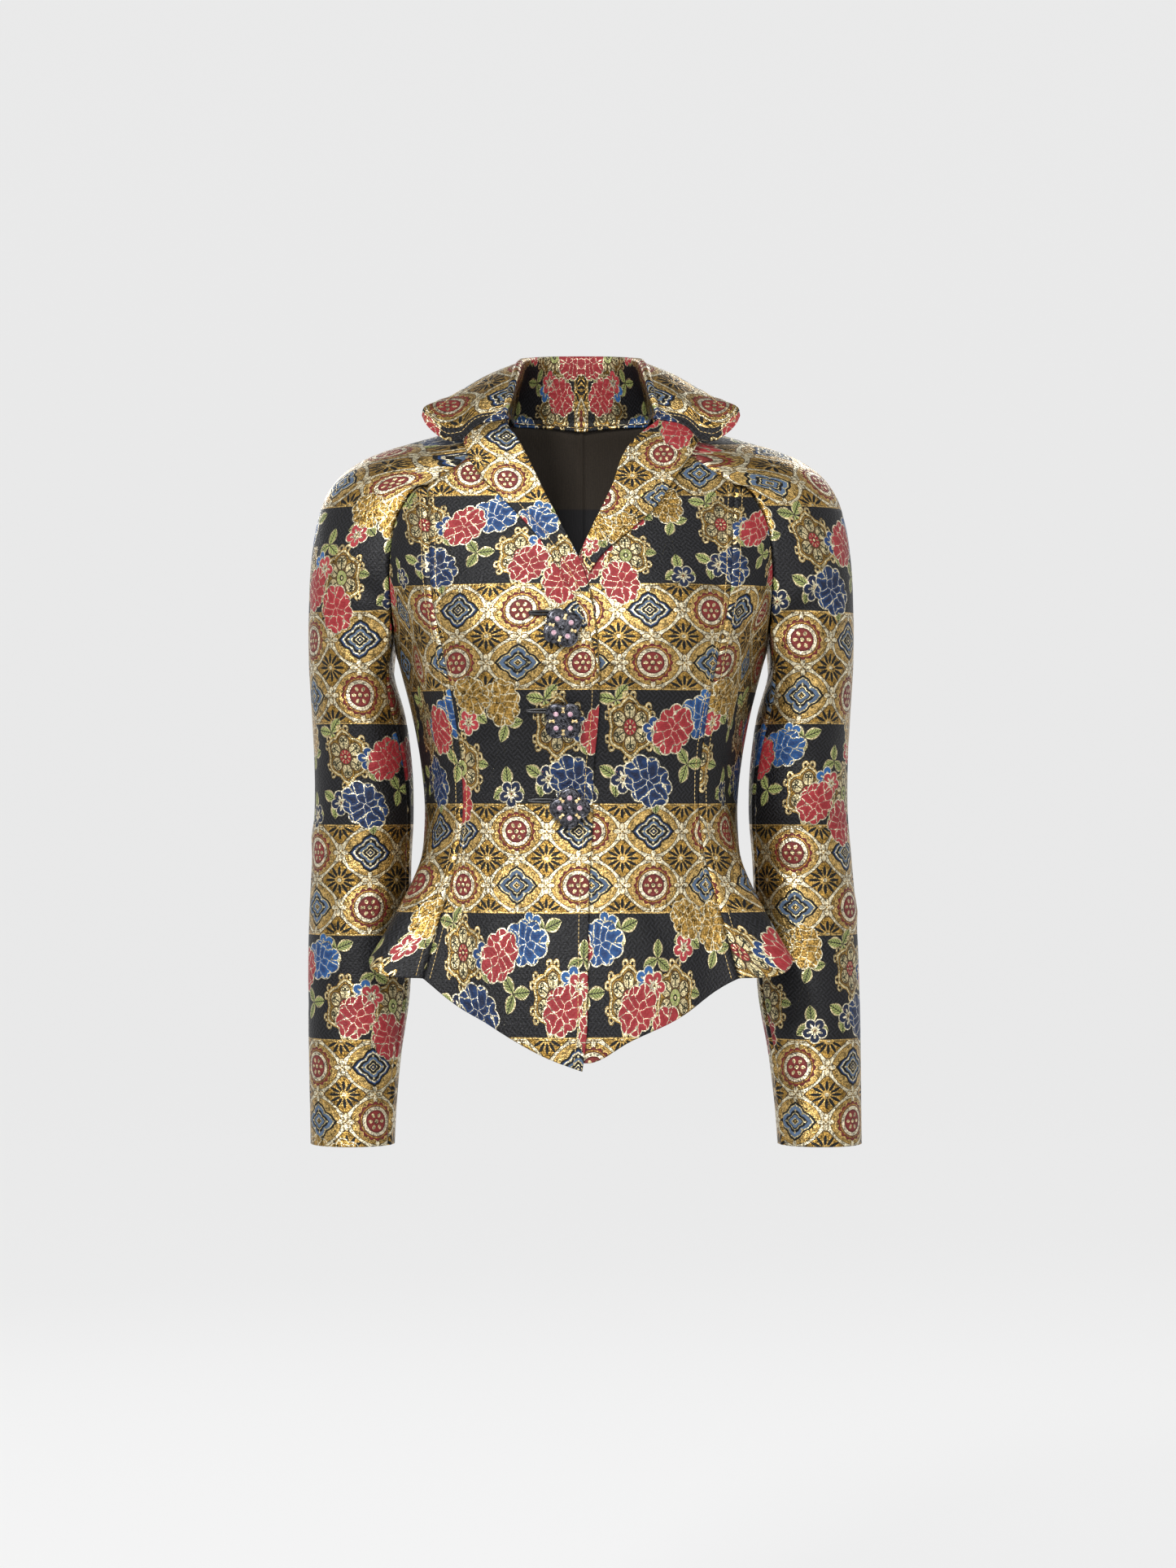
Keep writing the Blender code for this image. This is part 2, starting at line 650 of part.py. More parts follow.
def sleeve_rows(side):
    """Rows of the top sleeve from the neck to the cuff, each from front seam over the arm to back seam."""
    front, back = head_seams()
    crest = spread(SHOULDER_CREST, HEAD_ROWS)
    half = TOP_SLEEVE_COLUMNS // 2
    rows = []
    for k in range(HEAD_ROWS + 1):
        turns = along(HEAD_TURNS, k / HEAD_ROWS)
        to_front, to_back = (arc(crest[k], seam[k], turn, half) for seam, turn in zip((front, back), turns))
        rows.append(np.concatenate([to_front[::-1], to_back[1:]]))
    for height in np.linspace(FRONT_ARMHOLE[-1][0], CUFF_HEIGHT, ARM_ROWS + 1)[1:]:
        outside, _, seams, turns = arm_ring(height, side, (front[-1], back[-1]))
        to_front, to_back = (arc(outside, seam, turn, half) for seam, turn in zip(seams, turns))
        rows.append(np.concatenate([to_front[::-1], to_back[1:]]))
    return np.array(rows)


def underarm_row(inside, seams, turns):
    """Across the inner side of the arm, from the front seam to the back seam."""
    made = []
    for share in np.linspace(-1, 1, 2 * UNDERARM_COLUMNS + 1):
        seam, turn = (seams[0], turns[0]) if share < 0 else (seams[1], turns[1])
        reach = math.radians(180 - turn)
        across = (math.cos(share * reach) - math.cos(reach)) / (1 - math.cos(reach))
        deep = math.sin(abs(share) * reach) / math.sin(reach)
        x = seam[0] + (inside[0] - seam[0]) * across
        y = inside[1] + (seam[1] - inside[1]) * deep
        made.append([x, y, inside[2]])
    return np.array(made)


def sleeve(side):
    """The top sleeve, which runs over the shoulder to the neck, and the under sleeve inside the arm."""
    name = side_of_name(side)
    rows = sleeve_rows(side)
    cut(f"sleeve_top_{name}", rows, side, ("left", "right"))
    notches = [seam[-1] for seam in head_seams()]
    front = armhole_stations(FRONT_ARMHOLE, SIDE_FRONT_COLUMNS, True)[-UNDERARM_COLUMNS - 1 :]
    back = armhole_stations(BACK_ARMHOLE, SIDE_BACK_COLUMNS, False)[-UNDERARM_COLUMNS - 1 :]
    armhole = np.array([*front, *back[-2::-1]])
    under = [form_points(armhole[None], lambda distance, height: UNDERARM_GAP)[0]]
    for height in np.linspace(FRONT_ARMHOLE[-1][0], CUFF_HEIGHT, ARM_ROWS + 1)[1:]:
        under.append(underarm_row(*arm_ring(height, side, notches)[1:]))
    cut(f"sleeve_under_{name}", np.array(under)[:, ::-1], side, ("left", "right"))


def lapel_side(line, end, top, inset):
    """Stations down one side of a lapel, which follows a line and stays beyond its end's distance."""
    nearest, bottom = end
    made = []
    for height in np.linspace(top, bottom, LAPEL_ROWS + 1):
        distance = along(line, height)[0] + inset
        made.append((angle_at(max(nearest, distance), height), height))
    return made


def lapel(side):
    """The turned front edge, from the gorge down to where it rolls into the closing edge."""
    upper = side < 0
    gorge = spread(GORGE, LAPEL_COLUMNS)
    gorge_plan = np.array([(angle_at(x, z), z) for x, _, z in gorge])
    roll_end, edge_end = OVERLAP_LAPEL_ENDS if upper else UNDERLAP_LAPEL_ENDS
    roll_line = OVERLAP_EDGE if upper else UNDERLAP_EDGE
    edge_line = OVERLAP_LAPEL_EDGE if upper else UNDERLAP_LAPEL_EDGE
    roll = lapel_side(roll_line, roll_end, gorge[0][2], LAPEL_ROLL_INSET)
    edge = lapel_side(edge_line, edge_end, gorge[-1][2], 0.0)
    roll[0], edge[0] = tuple(gorge_plan[0]), tuple(gorge_plan[-1])
    plan = patch(roll, edge, gorge_plan, spread([roll[-1], edge[-1]], LAPEL_COLUMNS))

    def lift(distance, height):
        stand_off = LAPEL_LIFT_TOP * ease((height - LAPEL_LIFT_END) / (gorge[0][2] - LAPEL_LIFT_END))
        base = overlap_lift(distance, height) if upper else 0.0
        return base + LAYER_GAP + CLOTH + stand_off

    points = form_points(plan, lift)
    fade = np.linspace(1, 0, LAPEL_GORGE_ROWS)[:, None, None] ** 2
    points[:LAPEL_GORGE_ROWS] += fade * (gorge - points[0])[None]
    cut(f"lapel_{side_of_name(side)}", points, side, ("top",))


def collar_half(side):
    """Stations from the gorge to the centre back, each from the neck seam over the roll to the edge."""
    head = sleeve_rows(side)[0]
    start = on_body(BACK_HEAD_SEAM[:1], False)[0]
    neck_plan = spread([start, *between(BACK_NECK), (math.pi / 2, NAPE_HEIGHT)], COLLAR_BACK_STATIONS)
    neck = np.concatenate([head, [body_point(a, h) for a, h in neck_plan[1:]]])
    seam = spread(neck, COLLAR_NECK_STATIONS) + np.array([0.0, 0.0, COLLAR_SEAT])
    free = spread(COLLAR_LEADING_EDGE, COLLAR_LEADING_COLUMNS)
    leading = np.concatenate([spread(GORGE, LAPEL_COLUMNS), free[1:]])
    shares = np.linspace(0, 1, COLLAR_NECK_STATIONS + 1)
    roll = np.array([along(COLLAR_ROLL, s) for s in shares])
    edge = np.array([along(COLLAR_EDGE, s) for s in shares])
    fall_columns = LAPEL_COLUMNS + COLLAR_LEADING_COLUMNS
    outward = (edge - roll) * np.array([1.0, 1.0, 0.0])
    outward /= np.linalg.norm(outward, axis=1, keepdims=True)
    start = roll + outward * COLLAR_ROLL_RADIUS
    start[0] = leading[0]
    w = np.linspace(0, 1, fall_columns + 1)[:, None]
    up = np.array([0.0, 0.0, 1.0])
    dip = leading - (start[0] + (edge[0] - start[0]) * w)
    stations = []
    for k, share in enumerate(shares):
        fall = start[k] + (edge[k] - start[k]) * w
        fall += dip * max(0.0, 1 - share / COLLAR_SETTLE) ** COLLAR_SETTLE_POWER
        bow = COLLAR_SPRING * ease(share / COLLAR_SPRING_REACH) * np.sin(np.pi * w)
        fall += bow * (outward[k] * COLLAR_SPRING_OUT + up * COLLAR_SPRING_UP)
        growth = ease(share / COLLAR_ROLL_REACH)
        size = COLLAR_ROLL_RADIUS * (COLLAR_ROLL_NARROW + (1 - COLLAR_ROLL_NARROW) * growth)
        middle = fall[0] - outward[k] * size
        turns = np.linspace(math.pi, 0, COLLAR_ROLL_COLUMNS + 1)
        arch = [middle + size * (outward[k] * math.cos(a) + up * math.sin(a)) for a in turns]
        shares_up = np.linspace(0, 1, COLLAR_STAND_COLUMNS + 1)
        stand = [seam[k] + (arch[0] - seam[k]) * t for t in shares_up]
        stations.append(np.array(stand[:-1] + arch[:-1] + list(fall)))
    return np.array(stations)


def collar():
    """One turned collar from gorge to gorge, folded over at its roll."""
    left = collar_half(1)
    right = collar_half(-1) * np.array([-1.0, 1.0, 1.0])
    grid = np.concatenate([left, right[-2::-1]])
    cut("collar", grid[:, ::-1], 1, ("top", "bottom"))


def buttonhole(number, near, far, height):
    """Two bound edges of a buttonhole as one flat strip on the upper front."""
    heights = height + np.array([0.5, -0.5]) * BUTTONHOLE_WIDTH
    distances = np.linspace(near, far, BUTTONHOLE_COLUMNS + 1)
    plan = np.array([[(angle_at(x, z), z) for x in distances] for z in heights])
    lift = OVERLAP_LIFT + BUTTONHOLE_SEAT + CLOTH
    cut(f"buttonhole_{number}", form_points(plan, lambda distance, z: lift), -1, (), BINDING)


def join(target, others):
    """One closed body of several that overlap."""
    for other in others:
        union = target.modifiers.new("Join", "BOOLEAN")
        union.operation = "UNION"
        union.solver = "EXACT"
        union.object = other
    graph = bpy.context.evaluated_depsgraph_get()
    mesh = bpy.data.meshes.new_from_object(target.evaluated_get(graph))
    target.modifiers.clear()
    target.data = mesh
    for other in others:
        bpy.data.objects.remove(other)


def button(number, distance, height, turn):
    """A four-lobed domed button on a short shank, seated on the upper front."""
    places = [(0.0, 0.0, SHANK_LENGTH)]
    sizes = [BUTTON_CORE_RADIUS] + [LOBE_RADIUS] * LOBES
    for k in range(LOBES):
        around = 2 * math.pi * k / LOBES
        places.append((LOBE_OFFSET * math.cos(around), LOBE_OFFSET * math.sin(around), SHANK_LENGTH))
    made = []
    for place, size in zip(places, sizes):
        bpy.ops.mesh.primitive_uv_sphere_add(
            segments=LOBE_SEGMENTS, ring_count=LOBE_RINGS, radius=size, location=place
        )
        bpy.context.object.scale = (1, 1, LOBE_RISE / LOBE_RADIUS)
        made.append(bpy.context.object)
    bpy.ops.mesh.primitive_cylinder_add(
        vertices=SHANK_SEGMENTS, radius=SHANK_RADIUS, depth=SHANK_LENGTH, location=(0, 0, SHANK_LENGTH / 2)
    )
    made.append(bpy.context.object)
    for part in made:
        for owner in list(part.users_collection):
            owner.objects.unlink(part)
        jacket.objects.link(part)
    bpy.ops.object.select_all(action="DESELECT")
    for part in made:
        part.select_set(True)
    bpy.ops.object.transform_apply(location=True, rotation=True, scale=True)
    body = made[0]
    join(body, made[1:])
    body.name = body.data.name = f"button_{number}"
    body.data.materials.clear()
    body.data.materials.append(material(body.name, GUNMETAL))
    angle = angle_at(-distance, height)
    mirror = np.array([-1.0, 1.0, 1.0])
    normal = body_normal(angle, height) * mirror
    body.matrix_world = Vector(normal).to_track_quat("Z", "Y").to_matrix().to_4x4()
    body.rotation_euler.rotate_axis("Z", math.radians(turn))
    body.location = body_point(angle, height) * mirror + normal * (OVERLAP_LIFT + BUTTON_SEAT)


for old in list(bpy.data.objects):
    bpy.data.objects.remove(old)
jacket = bpy.data.collections.new("evening_jacket")
bpy.context.scene.collection.children.link(jacket)
planned = []
shared_normals = {}

for wearer_side in (1, -1):
    body_panels(wearer_side)
    sleeve(wearer_side)
    lapel(wearer_side)
collar()
for index, (hole_near, hole_far, hole_z) in enumerate(BUTTONHOLES, 1):
    buttonhole(index, hole_near, hole_far, hole_z)
for plan in planned:
    sew(*plan)
for index, (button_x, button_z, button_turn) in enumerate(BUTTONS, 1):
    button(index, button_x, button_z, button_turn)
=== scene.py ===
"""Looks of a fitted evening jacket in banded floral brocade, hollow as worn.

Each cloth piece is a thin shell on its solid's form, cut to the same seams, with a turned-in edge at
every seam and given creases. It carries cloth coordinates in metres of flat cloth, on which one
procedural brocade is charted: gold bands with a ribbon lattice, and black bands with flowers.
"""

import math

import bpy
import numpy as np
from mathutils import Matrix, Vector


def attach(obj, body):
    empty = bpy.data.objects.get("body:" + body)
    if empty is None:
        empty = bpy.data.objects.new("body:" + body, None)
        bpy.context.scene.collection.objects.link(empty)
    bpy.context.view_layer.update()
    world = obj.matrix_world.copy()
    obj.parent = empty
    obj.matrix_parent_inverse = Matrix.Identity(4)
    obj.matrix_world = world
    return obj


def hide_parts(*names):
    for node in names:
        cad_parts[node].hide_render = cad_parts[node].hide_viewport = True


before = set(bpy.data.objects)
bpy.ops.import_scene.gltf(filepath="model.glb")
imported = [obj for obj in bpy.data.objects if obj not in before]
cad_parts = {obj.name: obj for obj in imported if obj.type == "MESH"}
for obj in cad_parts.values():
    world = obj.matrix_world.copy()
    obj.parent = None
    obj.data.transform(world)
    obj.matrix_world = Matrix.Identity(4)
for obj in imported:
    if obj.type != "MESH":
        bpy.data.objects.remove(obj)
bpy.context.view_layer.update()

FINE = 4  # stations for each of the solids' stations
CLOTH = 0.0018  # brocade, interlining and lining together
LAYER_GAP = 0.0009  # between cloth that lies on cloth

BODY_ROWS = 20 * FINE
FRONT_COLUMNS = 8 * FINE
SIDE_FRONT_COLUMNS = 10 * FINE
BACK_NECK_COLUMNS = 4 * FINE
BACK_COLUMNS = 9 * FINE
SIDE_BACK_COLUMNS = 9 * FINE
UNDERARM_COLUMNS = 3 * FINE
HEAD_ROWS = FRONT_COLUMNS + SIDE_FRONT_COLUMNS - UNDERARM_COLUMNS
ARM_ROWS = 14 * FINE
TOP_SLEEVE_COLUMNS = 12 * FINE
LAPEL_COLUMNS = 4 * FINE
LAPEL_ROWS = 14 * FINE

# Body form: one horizontal section for each row
BODY_SQUARENESS = 2.4
BODY_SECTIONS = (
    # height, half width, front depth, back depth
    (0.060, 0.085, 0.020, 0.046),
    (0.030, 0.108, 0.034, 0.058),
    (0.013, 0.126, 0.047, 0.065),
    (0.000, 0.150, 0.058, 0.073),
    (-0.030, 0.172, 0.077, 0.087),
    (-0.060, 0.184, 0.092, 0.097),
    (-0.100, 0.190, 0.109, 0.105),
    (-0.140, 0.182, 0.121, 0.109),
    (-0.175, 0.168, 0.127, 0.108),
    (-0.210, 0.158, 0.126, 0.102),
    (-0.250, 0.148, 0.118, 0.094),
    (-0.290, 0.141, 0.109, 0.086),
    (-0.325, 0.138, 0.105, 0.082),
    (-0.355, 0.139, 0.106, 0.085),
    (-0.385, 0.142, 0.109, 0.093),
    (-0.415, 0.145, 0.113, 0.105),
    (-0.445, 0.147, 0.118, 0.119),
    (-0.475, 0.150, 0.122, 0.131),
    (-0.565, 0.160, 0.129, 0.150),
)

# Rounded fullness over the bust, which the princess seams shape
BUST_ANGLE, BUST_ANGLE_SPREAD = math.radians(-57.0), 0.36
BUST_HEIGHT, BUST_HEIGHT_SPREAD = -0.166, 0.047
BUST_FULLNESS = 0.013

# Flutes of the peplum, which pass in front of and behind the arm
PEPLUM_TOP = -0.345
PEPLUM_DROP = 0.108  # below its top, where a flute has its stated depth
FLUTE_GROWTH = 1.3
FLUTES = (
    # angle in degrees from the side towards the back, half width in degrees, depth
    (-23.0, 11.0, 0.048),
    (36.0, 12.0, 0.030),
    (66.0, 11.0, 0.010),
)

# Seams of the body, on the wearer's left: height, distance from the centre
FRONT_PRINCESS = (
    (-0.045, 0.1345), (-0.079, 0.1325), (-0.144, 0.1290), (-0.200, 0.1180), (-0.250, 0.1090),
    (-0.300, 0.1035), (-0.325, 0.1030), (-0.360, 0.1070), (-0.420, 0.1220), (-0.4720, 0.1360),
)
BACK_PRINCESS = (
    (-0.072, 0.1545), (-0.120, 0.1400), (-0.200, 0.1130), (-0.260, 0.0900), (-0.325, 0.0760),
    (-0.380, 0.0830), (-0.463, 0.1020),
)
SIDE_SEAM_ANGLE = math.radians(2.0)
SIDE_SEAM_TOP, SIDE_SEAM_HEM = -0.190, -0.450
NAPE_HEIGHT, CENTRE_BACK_HEM = 0.016, -0.470

# Places between two seams on the wearer's left: degrees from the side towards the back, height
SIDE_FRONT_HEM = ((-29.0, -0.4700), (-22.0, -0.4560), (-12.0, -0.4480))
SIDE_BACK_HEM = ((14.0, -0.4510), (26.0, -0.4560), (40.0, -0.4600))
BACK_HEM = ((65.0, -0.4660),)
BACK_NECK = ((66.0, 0.0185),)
FRONT_UNDERARM = ((-9.0, -0.1835),)
BACK_UNDERARM = ((9.0, -0.1835),)

# Closing edges, down the roll line of the neck first. A distance below zero is past the centre.
OVERLAP_EDGE = (
    (0.010, 0.0660), (-0.009, 0.0535), (-0.028, 0.0438), (-0.050, 0.0335), (-0.072, 0.0223),
    (-0.092, 0.0122), (-0.110, 0.0030), (-0.132, -0.0060), (-0.160, -0.0118), (-0.193, -0.0150),
    (-0.223, -0.0160), (-0.256, -0.0140), (-0.287, -0.0110), (-0.340, -0.0098), (-0.386, -0.0072),
    (-0.470, -0.0056), (-0.520, -0.0046), (-0.5500, -0.0010),
)
UNDERLAP_EDGE = (
    (0.010, 0.0660), (-0.013, 0.0422), (-0.053, 0.0245), (-0.083, 0.0098), (-0.107, -0.0010),
    (-0.132, -0.0105), (-0.160, -0.0170), (-0.200, -0.0200), (-0.300, -0.0200), (-0.450, -0.0190),
    (-0.500, -0.0150), (-0.5420, -0.0040),
)
OVERLAP_LIFT = CLOTH + 0.0016
OVERLAP_RAMP = (0.024, 0.056)  # from the centre, where the upper front leaves the body form

# Front hem, between the point and the princess seam: height, distance from the centre
OVERLAP_HEM = ((-0.5390, 0.0285), (-0.5112, 0.0786), (-0.4834, 0.1224))
UNDERLAP_HEM = ((-0.5430, 0.0060), (-0.5251, 0.0417), (-0.4973, 0.0967))

# Sleeve-head seams, from the neck to the notch where the underarm starts: height, distance from the centre
FRONT_HEAD_SEAM = (
    (0.010, 0.0660), (-0.004, 0.0800), (-0.022, 0.1010), (-0.037, 0.1220), (-0.045, 0.1345),
)
FRONT_ARMHOLE = (
    (-0.045, 0.1345), (-0.054, 0.1500), (-0.074, 0.1610), (-0.100, 0.1655), (-0.135, 0.1665),
    (-0.165, 0.1640),
)
BACK_HEAD_SEAM = ((0.020, 0.0600), (-0.004, 0.0900), (-0.030, 0.1220), (-0.052, 0.1430), (-0.072, 0.1545))
BACK_ARMHOLE = ((-0.072, 0.1545), (-0.100, 0.1625), (-0.135, 0.1650), (-0.162, 0.1640))

# Crest of the shoulder and of the outer arm: distance from the centre, depth, height
SHOULDER_CREST = (
    (0.0640, 0.0050, 0.0225), (0.0900, 0.0050, 0.0145), (0.1200, 0.0050, 0.0050),
    (0.1480, 0.0050, -0.0030), (0.1740, 0.0045, -0.0108), (0.1960, 0.0040, -0.0205),
    (0.2130, 0.0040, -0.0330), (0.2255, 0.0040, -0.0500), (0.2340, 0.0040, -0.0760),
    (0.2390, 0.0040, -0.1100), (0.2415, 0.0050, -0.1650),
)
HEAD_TURNS = (
    # share of the head seam, degrees from the crest to the front seam, to the back seam
    (0.00, 62.0, 62.0), (0.55, 76.0, 84.0), (0.85, 96.0, 110.0), (1.00, 112.0, 126.0),
)
ARM_TURNS = (
    # height, degrees from the outer side to the front seam, to the back seam
    (-0.165, 112.0, 126.0), (-0.200, 126.0, 136.0), (-0.245, 142.0, 146.0), (-0.290, 151.0, 152.0),
    (-0.626, 152.0, 152.0),
)
ARMPIT_FADE = 0.120  # how far down a ring is drawn towards the notches
UNDERARM_GAP = 0.0007  # between the under sleeve's top and the side panels that it lies against

# Sleeve: one ring for each row. A side's cuff leans away from the centre by its CUFF_LEAN.
ARM_SECTIONS = (
    # height, inner side, outer side, middle depth, half depth
    (-0.165, 0.1640, 0.2415, 0.005, 0.0570),
    (-0.200, 0.1672, 0.2412, 0.008, 0.0570),
    (-0.245, 0.1560, 0.2388, 0.012, 0.0560),
    (-0.290, 0.1500, 0.2368, 0.015, 0.0540),
    (-0.331, 0.1490, 0.2370, 0.018, 0.0520),
    (-0.374, 0.1515, 0.2400, 0.018, 0.0500),
    (-0.430, 0.1530, 0.2435, 0.017, 0.0485),
    (-0.490, 0.1545, 0.2448, 0.013, 0.0470),
    (-0.547, 0.1630, 0.2445, 0.006, 0.0430),
    (-0.590, 0.1672, 0.2438, -0.001, 0.0400),
    (-0.622, 0.1690, 0.2433, -0.007, 0.0380),
)
CUFF_HEIGHT = -0.622
LEAN_TOP = -0.330
CUFF_LEAN = {1: 0.0045, -1: -0.0045}

# Gorge, between lapel and collar, then the collar's leading edge: distance from the centre, depth, height
GORGE = ((0.0665, -0.0535, 0.0138), (0.0910, -0.0540, 0.0080), (0.1030, -0.0590, -0.0040))
COLLAR_LEADING_EDGE = (
    (0.1030, -0.0590, -0.0040), (0.1156, -0.0605, -0.0058), (0.1255, -0.0590, 0.0000),
    (0.1350, -0.0555, 0.0095), (0.1382, -0.0525, 0.0165),
)
COLLAR_NECK_STATIONS = 12 * FINE  # from the gorge to the centre back
COLLAR_STAND_COLUMNS = 3 * 2
COLLAR_ROLL_COLUMNS = 4 * 2
COLLAR_LEADING_COLUMNS = 4 * FINE
COLLAR_ROLL_RADIUS = 0.0034
COLLAR_ROLL_NARROW = 0.55  # share of that radius at the gorge
COLLAR_ROLL_REACH = 0.15  # share of the half collar over which the roll grows to its full radius
COLLAR_SPRING = 0.0035  # how far the fall bows out between its roll and its edge
COLLAR_SPRING_REACH = 0.20  # share of the half collar over which it grows
COLLAR_SPRING_OUT, COLLAR_SPRING_UP = 0.50, 0.85  # its way
COLLAR_SEAT = 0.0006  # over the neck seam
COLLAR_SETTLE = 0.42  # share of the half collar that the shape of its leading edge reaches
COLLAR_SETTLE_POWER = 1.5
COLLAR_BACK_STATIONS = 6 * FINE  # of the neck seam, behind the sleeve head
COLLAR_ROLL = (
    # share of the half collar, distance from the centre, depth, height
    (0.00, 0.0665, -0.0520, 0.0140),
    (0.15, 0.0630, -0.0400, 0.0330),
    (0.35, 0.0570, -0.0150, 0.0580),
    (0.50, 0.0540, 0.0050, 0.0675),
    (0.70, 0.0455, 0.0330, 0.0725),
    (0.85, 0.0270, 0.0520, 0.0755),
    (1.00, 0.0000, 0.0590, 0.0765),
)
COLLAR_EDGE = (
    (0.00, 0.1382, -0.0525, 0.0165),
    (0.06, 0.1370, -0.0480, 0.0235),
    (0.15, 0.1290, -0.0390, 0.0290),
    (0.35, 0.1150, -0.0130, 0.0370),
    (0.50, 0.1050, 0.0080, 0.0415),
    (0.70, 0.0830, 0.0480, 0.0380),
    (0.85, 0.0480, 0.0760, 0.0270),
    (1.00, 0.0000, 0.0880, 0.0210),
)

# Lapels: height and distance from the centre of the free edge, below the gorge
OVERLAP_LAPEL_EDGE = (
    (-0.0040, 0.1030), (-0.0220, 0.0970), (-0.0403, 0.0850), (-0.0662, 0.0605), (-0.0963, 0.0350),
    (-0.1305, 0.0140), (-0.1500, 0.0035), (-0.1669, -0.0050), (-0.1900, -0.0118), (-0.2140, -0.0145),
)
UNDERLAP_LAPEL_EDGE = (
    (-0.0040, 0.1030), (-0.0190, 0.0960), (-0.0380, 0.0828), (-0.0704, 0.0608), (-0.0876, 0.0419),
    (-0.1089, 0.0182), (-0.1270, 0.0056),
)

# Lower ends of the roll side and the free side: least distance from the centre, height
OVERLAP_LAPEL_ENDS = ((-0.0200, -0.2150), (-0.0200, -0.2140))
UNDERLAP_LAPEL_ENDS = ((0.0020, -0.1145), (0.0070, -0.1245))
LAPEL_LIFT_TOP = 0.0066  # stand-off at the gorge, which fades to the layer gap at LAPEL_LIFT_END
LAPEL_LIFT_END = -0.075
LAPEL_ROLL_INSET = 0.0006  # between the roll line and the front's edge under it
LAPEL_GORGE_ROWS = 4 * FINE  # over which a lapel leaves the gorge for the front

# Buttons and buttonholes, as in the solids
BUTTONS = (
    # distance from the centre, height, turn in degrees
    (-0.0168, -0.1730, 30.0),
    (-0.0148, -0.2490, 45.0),
    (-0.0094, -0.3253, 0.0),
)
BUTTONHOLES = (
    # distance from the centre of the end beside the shank, of the far end, height
    (0.0225, 0.0450, -0.1600),
    (0.0205, 0.0465, -0.2415),
    (0.0175, 0.0455, -0.3190),
)
LOBE_RADIUS, LOBE_OFFSET, LOBE_RISE = 0.0090, 0.0086, 0.0034
BUTTON_CORE_RADIUS = 0.0068
SHANK_RADIUS, SHANK_LENGTH = 0.0032, 0.0052
BUTTON_SEAT = 0.0010
WALL = 0.0014  # a shell's thickness, within that of its solid

CURVE_SAMPLES = 60  # for each given point of a seam
BISECTIONS = 45
NORMAL_STEP = 0.002  # radians and metres to either side
NO_LENGTH = 1e-9
MIRROR = np.array([-1.0, 1.0, 1.0])
LEVEL = np.array([1.0, 1.0, 0.0])


def along(table, place):
    """The further columns of a table at places in its first column, on a smooth curve through the rows."""
    rows = np.asarray(table, float)
    if rows[0, 0] > rows[-1, 0]:
        rows = rows[::-1]
    x, y = rows[:, 0], rows[:, 1:]
    at = np.clip(place, x[0], x[-1])
    i = np.clip(np.searchsorted(x, at) - 1, 0, len(x) - 2)
    gap = np.diff(x)
    chord = np.diff(y, axis=0) / gap[:, None]
    slope = np.empty_like(y)
    slope[0], slope[-1] = chord[0], chord[-1]
    slope[1:-1] = (chord[:-1] * gap[1:, None] + chord[1:] * gap[:-1, None]) / (gap[:-1] + gap[1:])[:, None]
    step = gap[i][..., None]
    t = (at - x[i])[..., None] / step
    return (
        y[i] * (2 * t**3 - 3 * t**2 + 1)
        + slope[i] * step * (t**3 - 2 * t**2 + t)
        + y[i + 1] * (3 * t**2 - 2 * t**3)
        + slope[i + 1] * step * (t**3 - t**2)
    )


def lengths(points):
    """Running length down the first axis of an array of points."""
    steps = np.linalg.norm(np.diff(points, axis=0), axis=-1)
    return np.concatenate([np.zeros((1,) + steps.shape[1:]), np.cumsum(steps, axis=0)])


def spread(points, count):
    """count + 1 stations, evenly spaced along the smooth curve through some points."""
    points = np.asarray(points, float)
    table = np.column_stack([lengths(points), points])
    fine = along(table, np.linspace(0, table[-1, 0], CURVE_SAMPLES * len(points)))
    length = lengths(fine)
    places = np.linspace(0, length[-1], count + 1)
    return np.column_stack([np.interp(places, length, fine[:, c]) for c in range(points.shape[1])])


def ease(t):
    t = np.clip(t, 0.0, 1.0)
    return t * t * (3 - 2 * t)


def radius(angle, height):
    """Distance of the body form from its upright axis. Angle 0 is the wearer's left, -90 degrees front."""
    half_width, front, back = np.moveaxis(along(BODY_SECTIONS, height), -1, 0)
    depth = np.where(np.sin(angle) < 0, front, back)
    across = np.abs(np.cos(angle)) / half_width
    deep = np.abs(np.sin(angle)) / depth
    r = (across**BODY_SQUARENESS + deep**BODY_SQUARENESS) ** (-1 / BODY_SQUARENESS)
    own = np.where(np.abs(angle) <= math.pi / 2, angle, np.copysign(math.pi, angle) - angle)
    bust = ((own - BUST_ANGLE) / BUST_ANGLE_SPREAD) ** 2
    bust += ((height - BUST_HEIGHT) / BUST_HEIGHT_SPREAD) ** 2
    r = r + BUST_FULLNESS * np.exp(-bust)
    growth = (np.maximum(0.0, PEPLUM_TOP - height) / PEPLUM_DROP) ** FLUTE_GROWTH
    for middle, half, depth in FLUTES:
        r = r + depth * growth * np.exp(-(((np.degrees(own) - middle) / half) ** 2))
    return r


def body_point(angle, height):
    angle, height = np.asarray(angle, float), np.asarray(height, float)
    r = radius(angle, height)
    return np.stack([r * np.cos(angle), r * np.sin(angle), height + 0 * r], axis=-1)


def body_normal(angle, height):
    around = body_point(angle + NORMAL_STEP, height) - body_point(angle - NORMAL_STEP, height)
    up = body_point(angle, height + NORMAL_STEP) - body_point(angle, height - NORMAL_STEP)
    normal = np.cross(around, up)
    return normal / np.linalg.norm(normal, axis=-1, keepdims=True)


